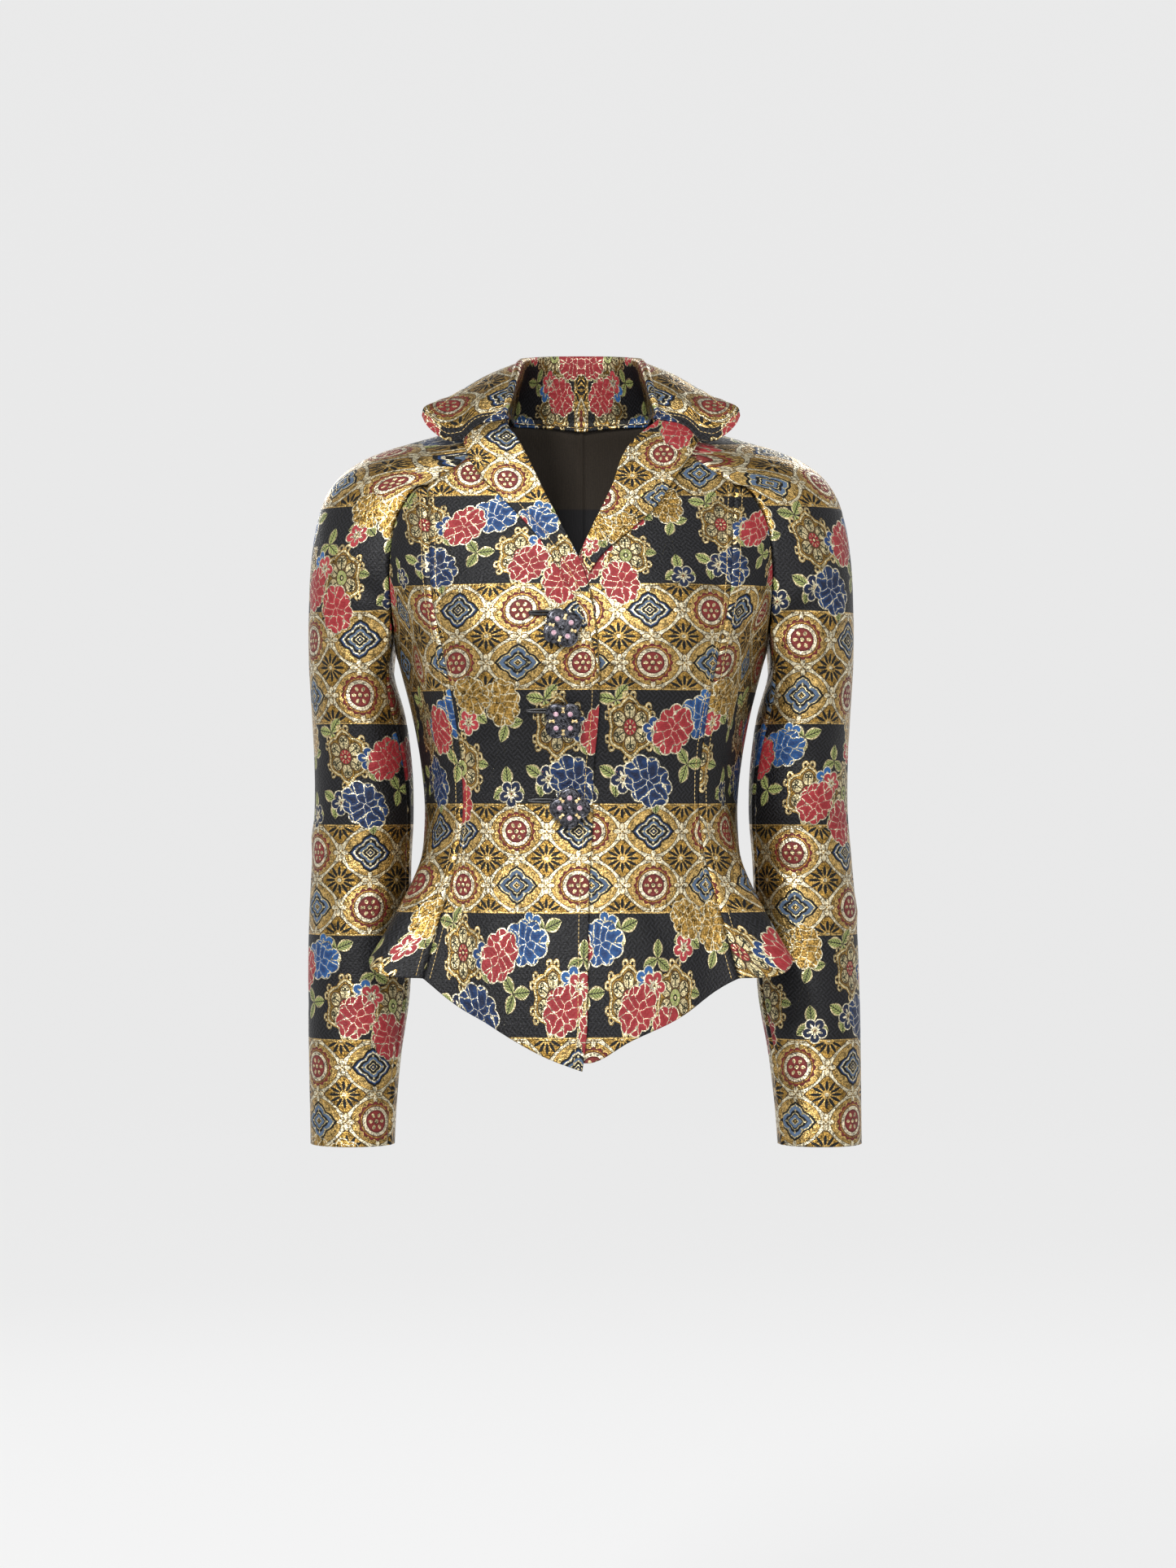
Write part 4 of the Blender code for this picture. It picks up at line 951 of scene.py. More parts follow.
def ramp(value, stops, smooth=False):
    """Colours by value: (place, colour) stops. Returns the colour and its cover."""
    made = node("ShaderNodeValToRGB", (value,))
    band = made.color_ramp
    band.interpolation = "LINEAR" if smooth else "CONSTANT"
    for index, (place, colour) in enumerate(stops):
        element = band.elements[index] if index < 2 else band.elements.new(place)
        element.position = place
        element.color = colour
    return Field(made.outputs[0]), Field(made.outputs[1])


def lay(under, colour, cover):
    """One colour over another, as far as its cover says."""
    made = node("ShaderNodeMix", {0: cover, 6: under, 7: colour}, data_type="RGBA")
    return Field(made.outputs[2])


def polar(x, y):
    return reach(vector(x, y)), maths("ARCTAN2", y, x)


def sector(r, angle, petals):
    """Coordinates in one petal of a round flower: out along its middle, and across from it."""
    folded = fold(angle, math.pi / petals)
    return r * cosine(folded), r * sine(folded)


def far_from(x, y, cx, cy, rx, ry):
    """Distance from a centre in units of an ellipse's radii."""
    return reach(vector((x - cx) * (1 / rx), (y - cy) * (1 / ry)))


def wrapped(a, size):
    """The place within its cell, from minus to plus half a size, and the cell's number."""
    cells = a * (1 / size)
    cell = maths("FLOOR", cells)
    return (cells - cell - 0.5) * size, cell


# What a chart's numbers may span: shift across, height, turn either way; and the least size drawn
CHART_SHIFT, CHART_HEIGHT, CHART_TURN = 0.04, 0.16, 3.2
CHART_LEAST = 0.01


def charted(x, y, size, rows):
    """Coordinates in the motif that a chart places in each cell, and the cell's share of the repeat.

    The chart has one row for each cell: distance from its middle, height below the band's middle,
    turn, size. A colour ramp holds the rows, so each number is brought into 0 to 1 and back.
    """
    local, cell = wrapped(x, size)
    share = maths("FLOORED_MODULO", cell + 0.5, float(len(rows))) * (1 / len(rows))
    stops = []
    for k, (dx, dy, turn, scale) in enumerate(rows):
        place = (dx / CHART_SHIFT + 0.5, dy / CHART_HEIGHT + 0.5)
        stops.append((k / len(rows), (*place, turn / (2 * CHART_TURN) + 0.5, scale / 2)))
    colour, scale = ramp(share, stops)
    made = node("ShaderNodeSeparateColor", (colour,))
    dx, dy, turn = (Field(made.outputs[k]) for k in range(3))
    px = local - (dx - 0.5) * CHART_SHIFT
    py = y - (dy - 0.5) * CHART_HEIGHT
    rotated = node(
        "ShaderNodeVectorRotate",
        {"Vector": vector(px, py), "Angle": (turn - 0.5) * (2 * CHART_TURN)},
        rotation_type="Z_AXIS",
    ).outputs[0]
    sized = node("ShaderNodeVectorMath", {0: Field(rotated), 1: None}, operation="SCALE")
    Field.tree.links.new(maths("DIVIDE", 0.5, most(scale, CHART_LEAST)).socket, sized.inputs["Scale"])
    px, py = parts_of(Field(sized.outputs[0]))
    return px, py, share


# Charts of the black bands, one row for each cell across a repeat: distance from the cell's middle,
# height below the band's middle, turn, size. A size of zero leaves the cell bare.
LEAVES_HIGH = (
    (-0.001, -0.034, 0.4, 1.1),
    (0.001, -0.012, 1.5, 1.0),
    (0.001, -0.030, -0.7, 1.1),
    (-0.001, -0.018, 2.3, 1.0),
    (0.000, -0.038, -1.2, 1.1),
    (0.001, -0.008, 0.9, 1.05),
    (-0.001, -0.026, 2.9, 1.1),
)
LEAVES_LOW = (
    (0.001, 0.020, -2.4, 1.05),
    (-0.001, 0.036, 0.7, 1.1),
    (0.000, 0.012, 1.9, 1.0),
    (0.001, 0.032, -0.4, 1.1),
    (-0.001, 0.024, 2.6, 1.1),
    (0.001, 0.040, -1.5, 1.0),
    (0.000, 0.014, 0.1, 1.1),
)
MEDALLIONS = (
    (0.000, 0.017, 0.0, 1.0),
    (0.000, 0.017, 0.0, 1.0),
    (0.002, -0.060, 0.0, 0.0),
    (-0.001, -0.016, 0.0, 1.0),
    (0.002, -0.060, 0.0, 0.0),
)
PEONIES = (
    # blue, red, gold, deep blue
    (-0.004, -0.024, 0.3, 0.95),
    (0.005, 0.044, 1.9, 0.92),
    (-0.005, -0.036, -1.1, 0.86),
    (0.003, 0.028, 2.6, 1.02),
)
PEONIES_BETWEEN = (
    (0.003, 0.026, 1.2, 0.90),
    (-0.005, -0.042, -0.4, 0.80),
    (0.004, 0.020, 2.2, 0.00),
    (-0.002, -0.014, -2.0, 0.94),
)
BLOSSOMS = (
    (0.012, 0.004, 0.2, 1.0),
    (-0.008, -0.020, 0.9, 0.95),
    (0.010, 0.026, -0.5, 1.05),
    (-0.004, -0.004, 1.4, 0.9),
)
BLOSSOMS_BETWEEN = (
    (0.002, -0.037, 0.6, 0.95),
    (-0.010, 0.008, 1.1, 1.0),
    (0.004, 0.038, -0.3, 1.0),
    (0.009, -0.014, 1.7, 0.95),
)
ROW_SHIFT = 0.093  # across, from one black band to the next
FRET_PITCH = 0.0086

# Sizes of the motifs on the flat cloth
RIBBON_BULGE = 0.62
DAISY_NARROW = 0.86
ROUNDEL_RADIUS, SCALLOPS, SCALLOP_DEPTH = 0.0182, 16, 0.0022
LOZENGE_ACROSS, LOZENGE_DOWN = 0.0208, 0.0182
LEAF_LENGTH, LEAF_HALF_WIDTH = 0.0152, 0.0050
MEDALLION_DOWN, MEDALLION_ACROSS = 0.0262, 0.0212
PEONY_RADIUS, PEONY_LOBES, PEONY_LOBE_DEPTH = 0.0228, 9, 0.0032
PETAL_CELL, PETAL_BEND = 0.0080, 0.006
BORDER_WIDTH = 0.0006
RIB_PITCH, FLOAT_PITCH = 0.0011, 0.0007


def gold_band(u, y):
    """Ribbon lattice with roundels, indented lozenges, daisies and florets."""
    from_edge = y + below(y, 0.0) * REPEAT_DOWN - BAND_BLACK / 2
    across, down = u * (1 / CELL_ACROSS), from_edge * (1 / CELL_DOWN)
    a, b = cosine(across * (2 * math.pi)), cosine(down * (2 * math.pi))
    weave = a + b - (a * b + 1.0) * RIBBON_BULGE
    colour, _ = ramp(
        weave * 0.2 + 0.7,
        [
            (0.0, GOLD_LIGHT), (0.600, BROWN), (0.609, GOLD), (0.664, BROWN), (0.675, IVORY),
            (0.724, BROWN), (0.735, GOLD_DEEP), (0.790, GOLD),
        ],
    )
    p, q = across + down, across - down
    fp, _ = wrapped(p, 1.0)
    fq, _ = wrapped(q, 1.0)
    r, angle = polar((fp + fq) * (CELL_ACROSS / 2), (fp - fq) * (CELL_DOWN / 2))
    out, side = sector(r, angle, 4)
    petal = far_from(out, side, 0.0046, 0.0, 0.0040, 0.0027)
    floret, cover = ramp(petal, [(0.0, IVORY), (0.70, GOLD_LIGHT), (0.84, BROWN), (1.0, CLEAR)])
    colour = lay(colour, floret, cover)
    heart, cover = ramp(r * 500.0, [(0.0, GOLD_DEEP), (0.45, IVORY), (0.85, CLEAR)])
    colour = lay(colour, heart, cover)

    gx, _ = wrapped(across + 0.5, 1.0)
    gy, _ = wrapped(down + 0.5, 1.0)
    r, angle = polar(gx * (CELL_ACROSS * DAISY_NARROW), gy * CELL_DOWN)
    out, side = sector(r, angle, 12)
    colour = lay(colour, BLACK, below(far_from(out, side, 0.0082, 0.0, 0.0044, 0.00125), 1.0))
    heart, cover = ramp(r * 250.0, [(0.0, IVORY), (0.42, GOLD_DEEP), (0.56, GOLD_LIGHT), (0.80, CLEAR)])
    colour = lay(colour, heart, cover)

    mx, column = wrapped(across, 1.0)
    my, row = wrapped(down, 1.0)
    mx, my = mx * CELL_ACROSS, my * CELL_DOWN
    odd = maths("FLOORED_MODULO", column + row, 2.0)
    r, angle = polar(mx, my)
    scallops = fold(angle, math.pi / SCALLOPS) * (SCALLOPS / math.pi * SCALLOP_DEPTH)
    scallop = r / (ROUNDEL_RADIUS - scallops)
    out, side = sector(r, angle, 6)
    roundel, _ = ramp(
        r * (1 / ROUNDEL_RADIUS),
        [
            (0.0, CREAM), (0.10, DARK_RED), (0.15, MAROON), (0.50, DARK_RED), (0.56, IVORY),
            (0.73, DARK_RED), (0.77, GOLD_DEEP), (0.83, MAROON), (0.90, DARK_RED),
        ],
    )
    roundel = lay(roundel, CREAM, below(far_from(out, side, 0.0060, 0.0, 0.0021, 0.0015), 1.0))
    roundel = lay(roundel, DARK_RED, below(0.93, scallop))
    colour = lay(colour, roundel, below(scallop, 1.0) * (1.0 - odd))

    steps = absolute(mx) * (1 / LOZENGE_ACROSS) + absolute(my) * (1 / LOZENGE_DOWN)
    steps = steps * (cosine(angle * 8.0) * 0.045 - cosine(angle * 4.0) * 0.015 + 0.97)
    blue, cover = ramp(
        steps,
        [
            (0.0, GOLD), (0.07, BLACK), (0.13, CREAM), (0.19, SLATE), (0.34, BLACK), (0.40, CREAM),
            (0.46, BLACK), (0.60, SLATE), (0.80, CREAM), (0.87, BLACK), (0.985, CLEAR),
        ],
    )
    dark, _ = ramp(
        steps,
        [
            (0.0, CREAM), (0.06, NAVY), (0.16, CREAM), (0.21, BLACK), (0.34, CREAM), (0.41, SLATE),
            (0.54, BLACK), (0.70, IVORY), (0.79, BLUE), (0.86, BLACK),
        ],
    )
    lozenge = lay(blue, dark, below(row, 0.5))
    out, side = sector(r, angle, 8)
    studs = below(far_from(out, side, 0.0100, 0.0, 0.0012, 0.0009), 1.0)
    lozenge = lay(lozenge, CREAM, studs)
    return lay(colour, lozenge, cover * odd)


def black_ground(u, y):
    """Black satin with a key fret, tone on tone."""
    a, b = (u + y) * (1 / FRET_PITCH), (u - y) * (1 / FRET_PITCH)
    odd = maths("FLOORED_MODULO", maths("FLOOR", a) + maths("FLOOR", b), 2.0)
    bars = fold(a * odd + b * (1.0 - odd), 0.25)
    return lay(BLACK, FRET, below(bars, 0.11))


def leaves(colour, u, y, chart):
    x, z, _ = charted(u, y, REPEAT_ACROSS / len(chart), chart)
    r, angle = polar(x, z)
    out, side = sector(r, angle, 3)
    share = out * (1 / LEAF_LENGTH)
    half = most(share * (1.0 - share) * (4 * LEAF_HALF_WIDTH), 0.00001)
    edge = side / half
    leaf, cover = ramp(edge, [(0.0, LEAF), (0.70, CREAM), (0.99, CLEAR)])
    veins = most(below(side, 0.0004), below(fold(out - side * 1.2, 0.0013), 0.00038))
    leaf = lay(leaf, LEAF_DARK, veins * below(edge, 0.60))
    return lay(colour, leaf, cover)


def medallions(colour, u, y):
    x, z, place = charted(u, y, REPEAT_ACROSS / len(MEDALLIONS), MEDALLIONS)
    r, angle = polar(z * (1 / MEDALLION_DOWN), x * (1 / MEDALLION_ACROSS))
    out, side = sector(r, angle, 6)
    curl = absolute(reach(vector(out - 0.98, side - 0.15)) - 0.10)
    curls, cover = ramp(curl, [(0.0, CREAM), (0.030, GOLD_DEEP), (0.045, CLEAR)])
    colour = lay(colour, curls, cover)
    inset = fold(angle, math.pi / 6) * (6 / math.pi)
    edge = r / (1.0 - inset * 0.19)
    rings = [(0.0, OLIVE_GOLD), (0.84, BROWN), (0.87, CREAM), (0.95, GOLD_DEEP), (1.0, CLEAR)]
    body, cover = ramp(edge, rings)
    petal = far_from(out, side, 0.50, 0.0, 0.27, 0.25)
    flower, inside = ramp(petal, [(0.0, CREAM), (0.84, BROWN), (1.0, CLEAR)])
    body = lay(body, flower, inside)
    marks = most(
        below(absolute(reach(vector(out - 0.60, side - 0.085)) - 0.062), 0.020),
        below(far_from(out, side, 0.44, 0.0, 0.20, 0.022), 1.0),
    )
    body = lay(body, LEAF_DARK, marks)
    red, inner = ramp(r, [(0.0, CREAM), (0.05, DARK_RED), (0.10, RED), (0.24, BROWN), (0.29, CLEAR)])
    green, _ = ramp(r, [(0.0, CREAM), (0.05, LEAF_DARK), (0.10, LEAF), (0.24, BROWN)])
    heart = lay(red, green, below(absolute(place - 0.3), 0.12))
    spokes = below(fold(angle, math.pi / 8), 0.11) * below(absolute(r - 0.17), 0.05)
    heart = lay(heart, CREAM, spokes)
    body = lay(body, heart, inner)
    return lay(colour, body, cover)


def blossoms(colour, u, y, chart):
    x, z, place = charted(u, y, REPEAT_ACROSS / len(chart), chart)
    r, angle = polar(x, z)
    out, side = sector(r, angle, 5)
    petal = far_from(out, side, 0.0068, 0.0, 0.0050, 0.0050)
    fill, _ = ramp(place, [(0.0, BRIGHT_BLUE), (0.25, ROSE), (0.5, NAVY), (0.75, BLUE)])
    mark, cover = ramp(petal, [(0.0, CLEAR), (0.78, IVORY), (0.98, CLEAR)])
    colour = lay(colour, fill, below(petal, 0.80))
    colour = lay(colour, mark, cover)
    streak = below(far_from(out, side, 0.0044, 0.0, 0.0028, 0.0010), 1.0)
    colour = lay(colour, IVORY, streak)
    heart, cover = ramp(r * 500.0, [(0.0, DARK_RED), (0.45, CREAM), (0.95, CLEAR)])
    return lay(colour, heart, cover)


def peonies(colour, u, y, chart, fills):
    """Many-petalled flowers, of two colours each, with a petal outline from uneven cells."""
    x, z, place = charted(u, y, REPEAT_ACROSS / len(chart), chart)
    r, angle = polar(x, z * 1.10)
    lobe = fold(angle, math.pi / PEONY_LOBES) * (PEONY_LOBES / math.pi)
    wide = PEONY_RADIUS - lobe * lobe * PEONY_LOBE_DEPTH + sine(angle * 2.0 + 0.8) * 0.0019
    edge = r / wide
    swell = maths("DIVIDE", 1.0, r * (1 / 0.028) + 0.52)
    bend = node("ShaderNodeTexNoise", {"Vector": vector(x, z), "Scale": 95.0}, noise_dimensions="2D")
    shift_x, shift_y = parts_of(Field(bend.outputs[1]))
    bent_x = x * swell + (shift_x - 0.5) * PETAL_BEND
    bent_z = z * swell + (shift_y - 0.5) * PETAL_BEND
    cells = node(
        "ShaderNodeTexVoronoi",
        {"Vector": vector(bent_x, bent_z), "Scale": 1 / PETAL_CELL},
        voronoi_dimensions="2D",
        feature="DISTANCE_TO_EDGE",
    )
    gap = Field(cells.outputs["Distance"])
    light, _ = ramp(place, [(k / len(chart), pair[0]) for k, pair in enumerate(fills)])
    deep, _ = ramp(place, [(k / len(chart), pair[1]) for k, pair in enumerate(fills)])
    petal = lay(light, deep, least(gap * 3.2, 1.0))
    petal = lay(petal, IVORY, below(gap, 0.036))
    petal = lay(petal, IVORY, below(0.945, edge))
    return lay(colour, petal, below(edge, 1.0))


BLUE_PETALS, RED_PETALS = (BRIGHT_BLUE, BLUE), (ROSE, RED)
GOLD_PETALS, DEEP_PETALS = (GOLD, GOLD_DEEP), (BLUE, NAVY)


def new_material(name):
    """A material whose nodes the fields are drawn in, and its shader."""
    made = bpy.data.materials.new(name)
    made.use_nodes = True
    Field.tree = made.node_tree
    return made, made.node_tree.nodes["Principled BSDF"]


def drive(shader, name, value):
    Field.tree.links.new(value.socket, shader.inputs[name])


def bump(strength, distance, height):
    made = node("ShaderNodeBump", {"Strength": strength, "Distance": distance, "Height": height})
    return Field(made.outputs[0])


def shaded(colour, shade):
    tone = node("ShaderNodeVectorMath", {0: colour}, operation="SCALE")
    Field.tree.links.new(shade.socket, tone.inputs["Scale"])
    return Field(tone.outputs[0])


def noise(place, scale, detail):
    settings = {"Vector": place, "Scale": scale, "Detail": detail}
    return Field(node("ShaderNodeTexNoise", settings, noise_dimensions="2D").outputs[0])


def brocade_material():
    made, shader = new_material("brocade")
    chart = Field(node("ShaderNodeUVMap", uv_map=CLOTH_CHART).outputs[0])
    u, v = parts_of(chart)
    y, band = wrapped(v + (REPEAT_DOWN / 2 - BAND_BLACK / 2), REPEAT_DOWN)
    gold = gold_band(u, y)
    u = u + band * ROW_SHIFT
    border = absolute(y) - (BAND_BLACK / 2)
    colour = lay(black_ground(u, y), gold, below(0.0, border))
    colour = lay(colour, GOLD_LIGHT, below(absolute(border), BORDER_WIDTH))
    colour = leaves(colour, u, y, LEAVES_HIGH)
    colour = leaves(colour, u, y, LEAVES_LOW)
    colour = medallions(colour, u, y)
    colour = blossoms(colour, u, y, BLOSSOMS)
    colour = blossoms(colour, u + REPEAT_ACROSS / 8, y, BLOSSOMS_BETWEEN)
    fills = (BLUE_PETALS, RED_PETALS, GOLD_PETALS, DEEP_PETALS)
    colour = peonies(colour, u + REPEAT_ACROSS / 8, y, PEONIES, fills)
    fills = (RED_PETALS, GOLD_PETALS, RED_PETALS, RED_PETALS)
    colour = peonies(colour, u, y, PEONIES_BETWEEN, fills)

    parts = node("ShaderNodeSeparateColor", (colour,), mode="HSV").outputs
    hue, depth = Field(parts[0]), Field(parts[1])
    golden = below(absolute(hue - 0.108), 0.034) * below(0.30, depth)
    # Brightness noise in the colour: random tone of the threads all over. On the gold, where it is stronger,
    # it also paints glints and the shade of crinkles.
    soft = noise(chart, 38.0, 2.0)
    fine = noise(chart, 640.0, 2.0)
    crackle = noise(chart, 210.0, 3.0)
    mottle_and_painted_glint = (fine - 0.5) * (golden * 1.3 + 0.4) + (crackle - 0.5) * (golden * 1.1 + 0.3)
    shade = soft * 0.30 + mottle_and_painted_glint + (0.49 - golden * 0.04)
    drive(shader, "Base Color", shaded(colour, shade))
    drive(shader, "Metallic", golden * 0.85)
    drive(shader, "Roughness", 0.48 - golden * 0.18 + (fine - 0.5) * 0.40)
    shader.inputs["Specular IOR Level"].default_value = 0.22

    crinkle = noise(chart, 420.0, 2.0)
    ribs = sine(v * (2 * math.pi / RIB_PITCH)) * 0.5
    drive(shader, "Normal", bump(0.6, 0.0012, crinkle + ribs * 0.10))
    return made


def reverse_material():
    """The brocade's back: dark floats of thread, a little warmer behind the gold bands."""
    made, shader = new_material("brocade_reverse")
    chart = Field(node("ShaderNodeUVMap", uv_map=CLOTH_CHART).outputs[0])
    u, v = parts_of(chart)
    y, _ = wrapped(v + (REPEAT_DOWN / 2 - BAND_BLACK / 2), REPEAT_DOWN)
    colour = lay(REVERSE_BLACK, REVERSE_GOLD, below(BAND_BLACK / 2, absolute(y)))
    float_threads = fold(u + noise(chart, 90.0, 2.0) * 0.002, FLOAT_PITCH) * (1 / FLOAT_PITCH)
    # Brightness follows each float's raised profile: painted light on the floats' tops and painted shade in
    # the grooves between them, with random tone from the noise.
    shade = noise(chart, 500.0, 2.0) * 0.7 + float_threads * 0.35 + 0.45
    drive(shader, "Base Color", shaded(colour, shade))
    drive(shader, "Normal", bump(0.4, 0.0004, float_threads))
    shader.inputs["Roughness"].default_value = 0.7
    return made


def band_chart(points, table, shift=0.0):
    return np.interp(-points[..., 2], [-row[0] for row in table], [row[1] for row in table]) + shift


def across_from_centre(grid):
    """Distance across the cloth, measured on from the piece's own distance from the centre plane."""
    across = side_distances(grid)["left"]
    return grid[:, :1, 0] + across


def across_from_grain(grid, share, place):
    """Distance across the cloth from a line down the piece, which lies at a place of the chart."""
    across = side_distances(grid)["left"]
    line = int(round(share * (grid.shape[1] - 1)))
    return across - across[:, line : line + 1] + place


pieces = {}


def add_piece(name, points, cloth, sewn, relief):
    pieces[name] = Piece(name, points, cloth, sewn, relief)


def side_of_name(side):
    return "left" if side > 0 else "right"


# How each piece is cut from the charted cloth

PATTERN_START = {1: 0.0174, -1: 0.0872}  # across the chart at the centre front

# The lapels' charts start lower than the fronts' by these, and are moved across
LAPEL_BAND_SHIFT = {1: -0.028, -1: -0.008}
LAPEL_GRAIN = {1: 0.0685, -1: 0.0365}
COLLAR_GRAIN = 0.040
COLLAR_BAND_START = 0.080  # where on the chart the collar's leading edge is cut
SLEEVE_GRAIN, UNDER_SLEEVE_GRAIN = 0.0, 0.104
GRAIN_SHARE = 0.5  # of a sleeve piece's columns, where its grain line runs

# Usual length and width of the pieces, for the spacing of stations beside their sides
BODY_LENGTH = 0.45
SLEEVE_SIZE, UNDER_SLEEVE_SIZE = (0.75, 0.13), (0.44, 0.07)
LAPEL_SIZE, COLLAR_SIZE = (0.2, 0.035), (0.42, 0.09)

# The collar's neck edge is turned in to meet the neck seam, in steps of inward and up. Towards the
# gorge, over COLLAR_TURN_FADE of its length, the turn falls to its least share.
COLLAR_TURN = ((0.0008, -0.0008), (0.0011, -0.0010), (0.0014, -0.0012))
COLLAR_TURN_FADE, COLLAR_TURN_LEAST = 0.06, 0.45

# Beside the neck the front's edge rises to the lapel's roll and rests under it
ROLL_RISE_REACH = 0.022  # across the front
ROLL_RISE_FADE = 0.25  # share of the height over which the rise begins
ROLL_REST = np.array([0.0, 0.0010, -0.0005])  # one cloth behind the roll


def raised_to_roll(points, side):
    """The front's upper edge brought up to the lapel's roll, so that no slit is left beside the collar."""
    roll = lapel_points(side)[::-1, 0]
    edge = points[:, 0]
    share = (edge[:, 2] - LAPEL_LIFT_END) / (edge[1, 2] - LAPEL_LIFT_END)
    level = LAPEL_LIFT_END + share * (roll[-1, 2] - LAPEL_LIFT_END)
    target = np.stack([np.interp(level, roll[:, 2], roll[:, k]) for k in range(3)], axis=-1)
    weight = ease(share / ROLL_RISE_FADE)
    weight[0] = 0.0
    rise = weight[:, None] * (target + ROLL_REST - edge)
    reach = ease(1 - side_distances(points)["left"] / ROLL_RISE_REACH)
    return points + reach[..., None] * rise[:, None]


def body_pieces(side):
    name = side_of_name(side)
    upper = side < 0
    edge = upright(OVERLAP_EDGE if upper else UNDERLAP_EDGE, BODY_ROWS)
    princess = upright(FRONT_PRINCESS, BODY_ROWS)
    head = spread(on_body(FRONT_HEAD_SEAM), FRONT_COLUMNS)
    hem_line = on_body(OVERLAP_HEM if upper else UNDERLAP_HEM)
    hem = spread([edge[-1], *hem_line, princess[-1]], FRONT_COLUMNS)
    front = patch(edge, princess, head, hem)

    heights = np.linspace(SIDE_SEAM_TOP, SIDE_SEAM_HEM, BODY_ROWS + 1)
    seam = np.column_stack([np.full(BODY_ROWS + 1, SIDE_SEAM_ANGLE), heights])
    armhole = armhole_stations(FRONT_ARMHOLE, SIDE_FRONT_COLUMNS, True)
    hem = spread([princess[-1], *between(SIDE_FRONT_HEM), seam[-1]], SIDE_FRONT_COLUMNS)
    side_front = patch(princess, seam, armhole, hem)

    back_princess = upright(BACK_PRINCESS, BODY_ROWS, front=False)
    armhole = armhole_stations(BACK_ARMHOLE, SIDE_BACK_COLUMNS, False)[::-1]
    hem = spread([seam[-1], *between(SIDE_BACK_HEM), back_princess[-1]], SIDE_BACK_COLUMNS)
    side_back = patch(seam, back_princess, armhole, hem)

    heights = np.linspace(NAPE_HEIGHT, CENTRE_BACK_HEM, BODY_ROWS + 1)
    centre_back = np.column_stack([np.full(BODY_ROWS + 1, math.pi / 2), heights])
    back_head = spread(on_body(BACK_HEAD_SEAM, False), BACK_COLUMNS)
    neck = spread([back_head[0], *between(BACK_NECK), centre_back[0]], BACK_NECK_COLUMNS)
    top = np.concatenate([back_head[::-1], neck[1:]])
    hem_stations = BACK_COLUMNS + BACK_NECK_COLUMNS
    hem = spread([back_princess[-1], *between(BACK_HEM), centre_back[-1]], hem_stations)
    back = patch(back_princess, centre_back, top, hem)

    plans = (
        # name, plan, columns, usual width, lift, sewn sides, grain line's share across and its place
        ("front", front, FRONT_COLUMNS, 0.11, overlap_lift if upper else None, ("right", "top"), None, 0.0),
        ("side_front", side_front, SIDE_FRONT_COLUMNS, 0.08, None, ("left", "right", "top"), 0.45, 0.014),
        ("side_back", side_back, SIDE_BACK_COLUMNS, 0.08, None, ("left", "right", "top"), 0.5, 0.061),
        ("back", back, hem_stations, 0.10, None, ("left", "right", "top"), 1.0, 0.0),
    )
    for kind, plan, columns, width, lift, sewn, grain, place in plans:
        plan = resample(plan, stations(BODY_ROWS, BODY_LENGTH), stations(columns, width))
        points = form_points(plan, (lambda distance, height: lift(distance)) if lift else None)
        if kind == "front":
            points = raised_to_roll(points, side)
        if grain is None:
            across = across_from_centre(points)
        else:
            across = across_from_grain(points, grain, place)
        across = across * side + PATTERN_START[side]
        cloth = np.stack([across, band_chart(points, BODY_BANDS)], axis=-1)
        points, cloth = mirrored_piece(points, cloth, side)
        add_piece(f"{kind}_{name}", points, cloth, swapped(sewn, side), body_relief(points, side))


def sleeve_pieces(side):
    name = side_of_name(side)
    rows = sleeve_rows(side)
    length, width = SLEEVE_SIZE
    points = resample(rows, stations(HEAD_ROWS + ARM_ROWS, length), stations(TOP_SLEEVE_COLUMNS, width))
    cloth = arm_chart(points, SLEEVE_GRAIN, side)
    points, cloth = mirrored_piece(points, cloth, side)
    relief = sleeve_relief(points, side)
    add_piece(f"sleeve_top_{name}", points, cloth, swapped(("left", "right"), side), relief)

    rows = underarm_rows(side)[:, ::-1]
    length, width = UNDER_SLEEVE_SIZE
    points = resample(rows, stations(ARM_ROWS, length), stations(2 * UNDERARM_COLUMNS, width))
    cloth = arm_chart(points, UNDER_SLEEVE_GRAIN, side)
    points, cloth = mirrored_piece(points, cloth, side)
    relief = sleeve_relief(points, side)
    add_piece(f"sleeve_under_{name}", points, cloth, swapped(("left", "right"), side), relief)


def arm_chart(points, place, side):
    """The sleeve's cloth chart: bands by height on the arm, and by length over the shoulder above it."""
    first_band = SLEEVE_BANDS[0][0]
    down = lengths(points)
    lower = band_chart(points, SLEEVE_BANDS)
    columns = range(points.shape[1])
    crossing = np.array([np.interp(-first_band, -points[:, j, 2], down[:, j]) for j in columns])
    upper = np.minimum(0.0, down - crossing[None])
    highest = np.maximum.accumulate(points[:, :, 2][::-1])[::-1]
    v = np.where(highest > first_band, upper, lower)
    return np.stack([across_from_grain(points, GRAIN_SHARE, place) * side, v], axis=-1)


def lapel_piece(side):
    length, width = LAPEL_SIZE
    points = resample(lapel_points(side), stations(LAPEL_ROWS, length), stations(LAPEL_COLUMNS, width))
    across = across_from_centre(points)
    shift = LAPEL_BAND_SHIFT[side]
    cloth = np.stack([across * side + LAPEL_GRAIN[side], band_chart(points, BODY_BANDS, shift)], axis=-1)
    points, cloth = mirrored_piece(points, cloth, side)
    add_piece(f"lapel_{side_of_name(side)}", points, cloth, ["top"], np.zeros(points.shape[:2]))


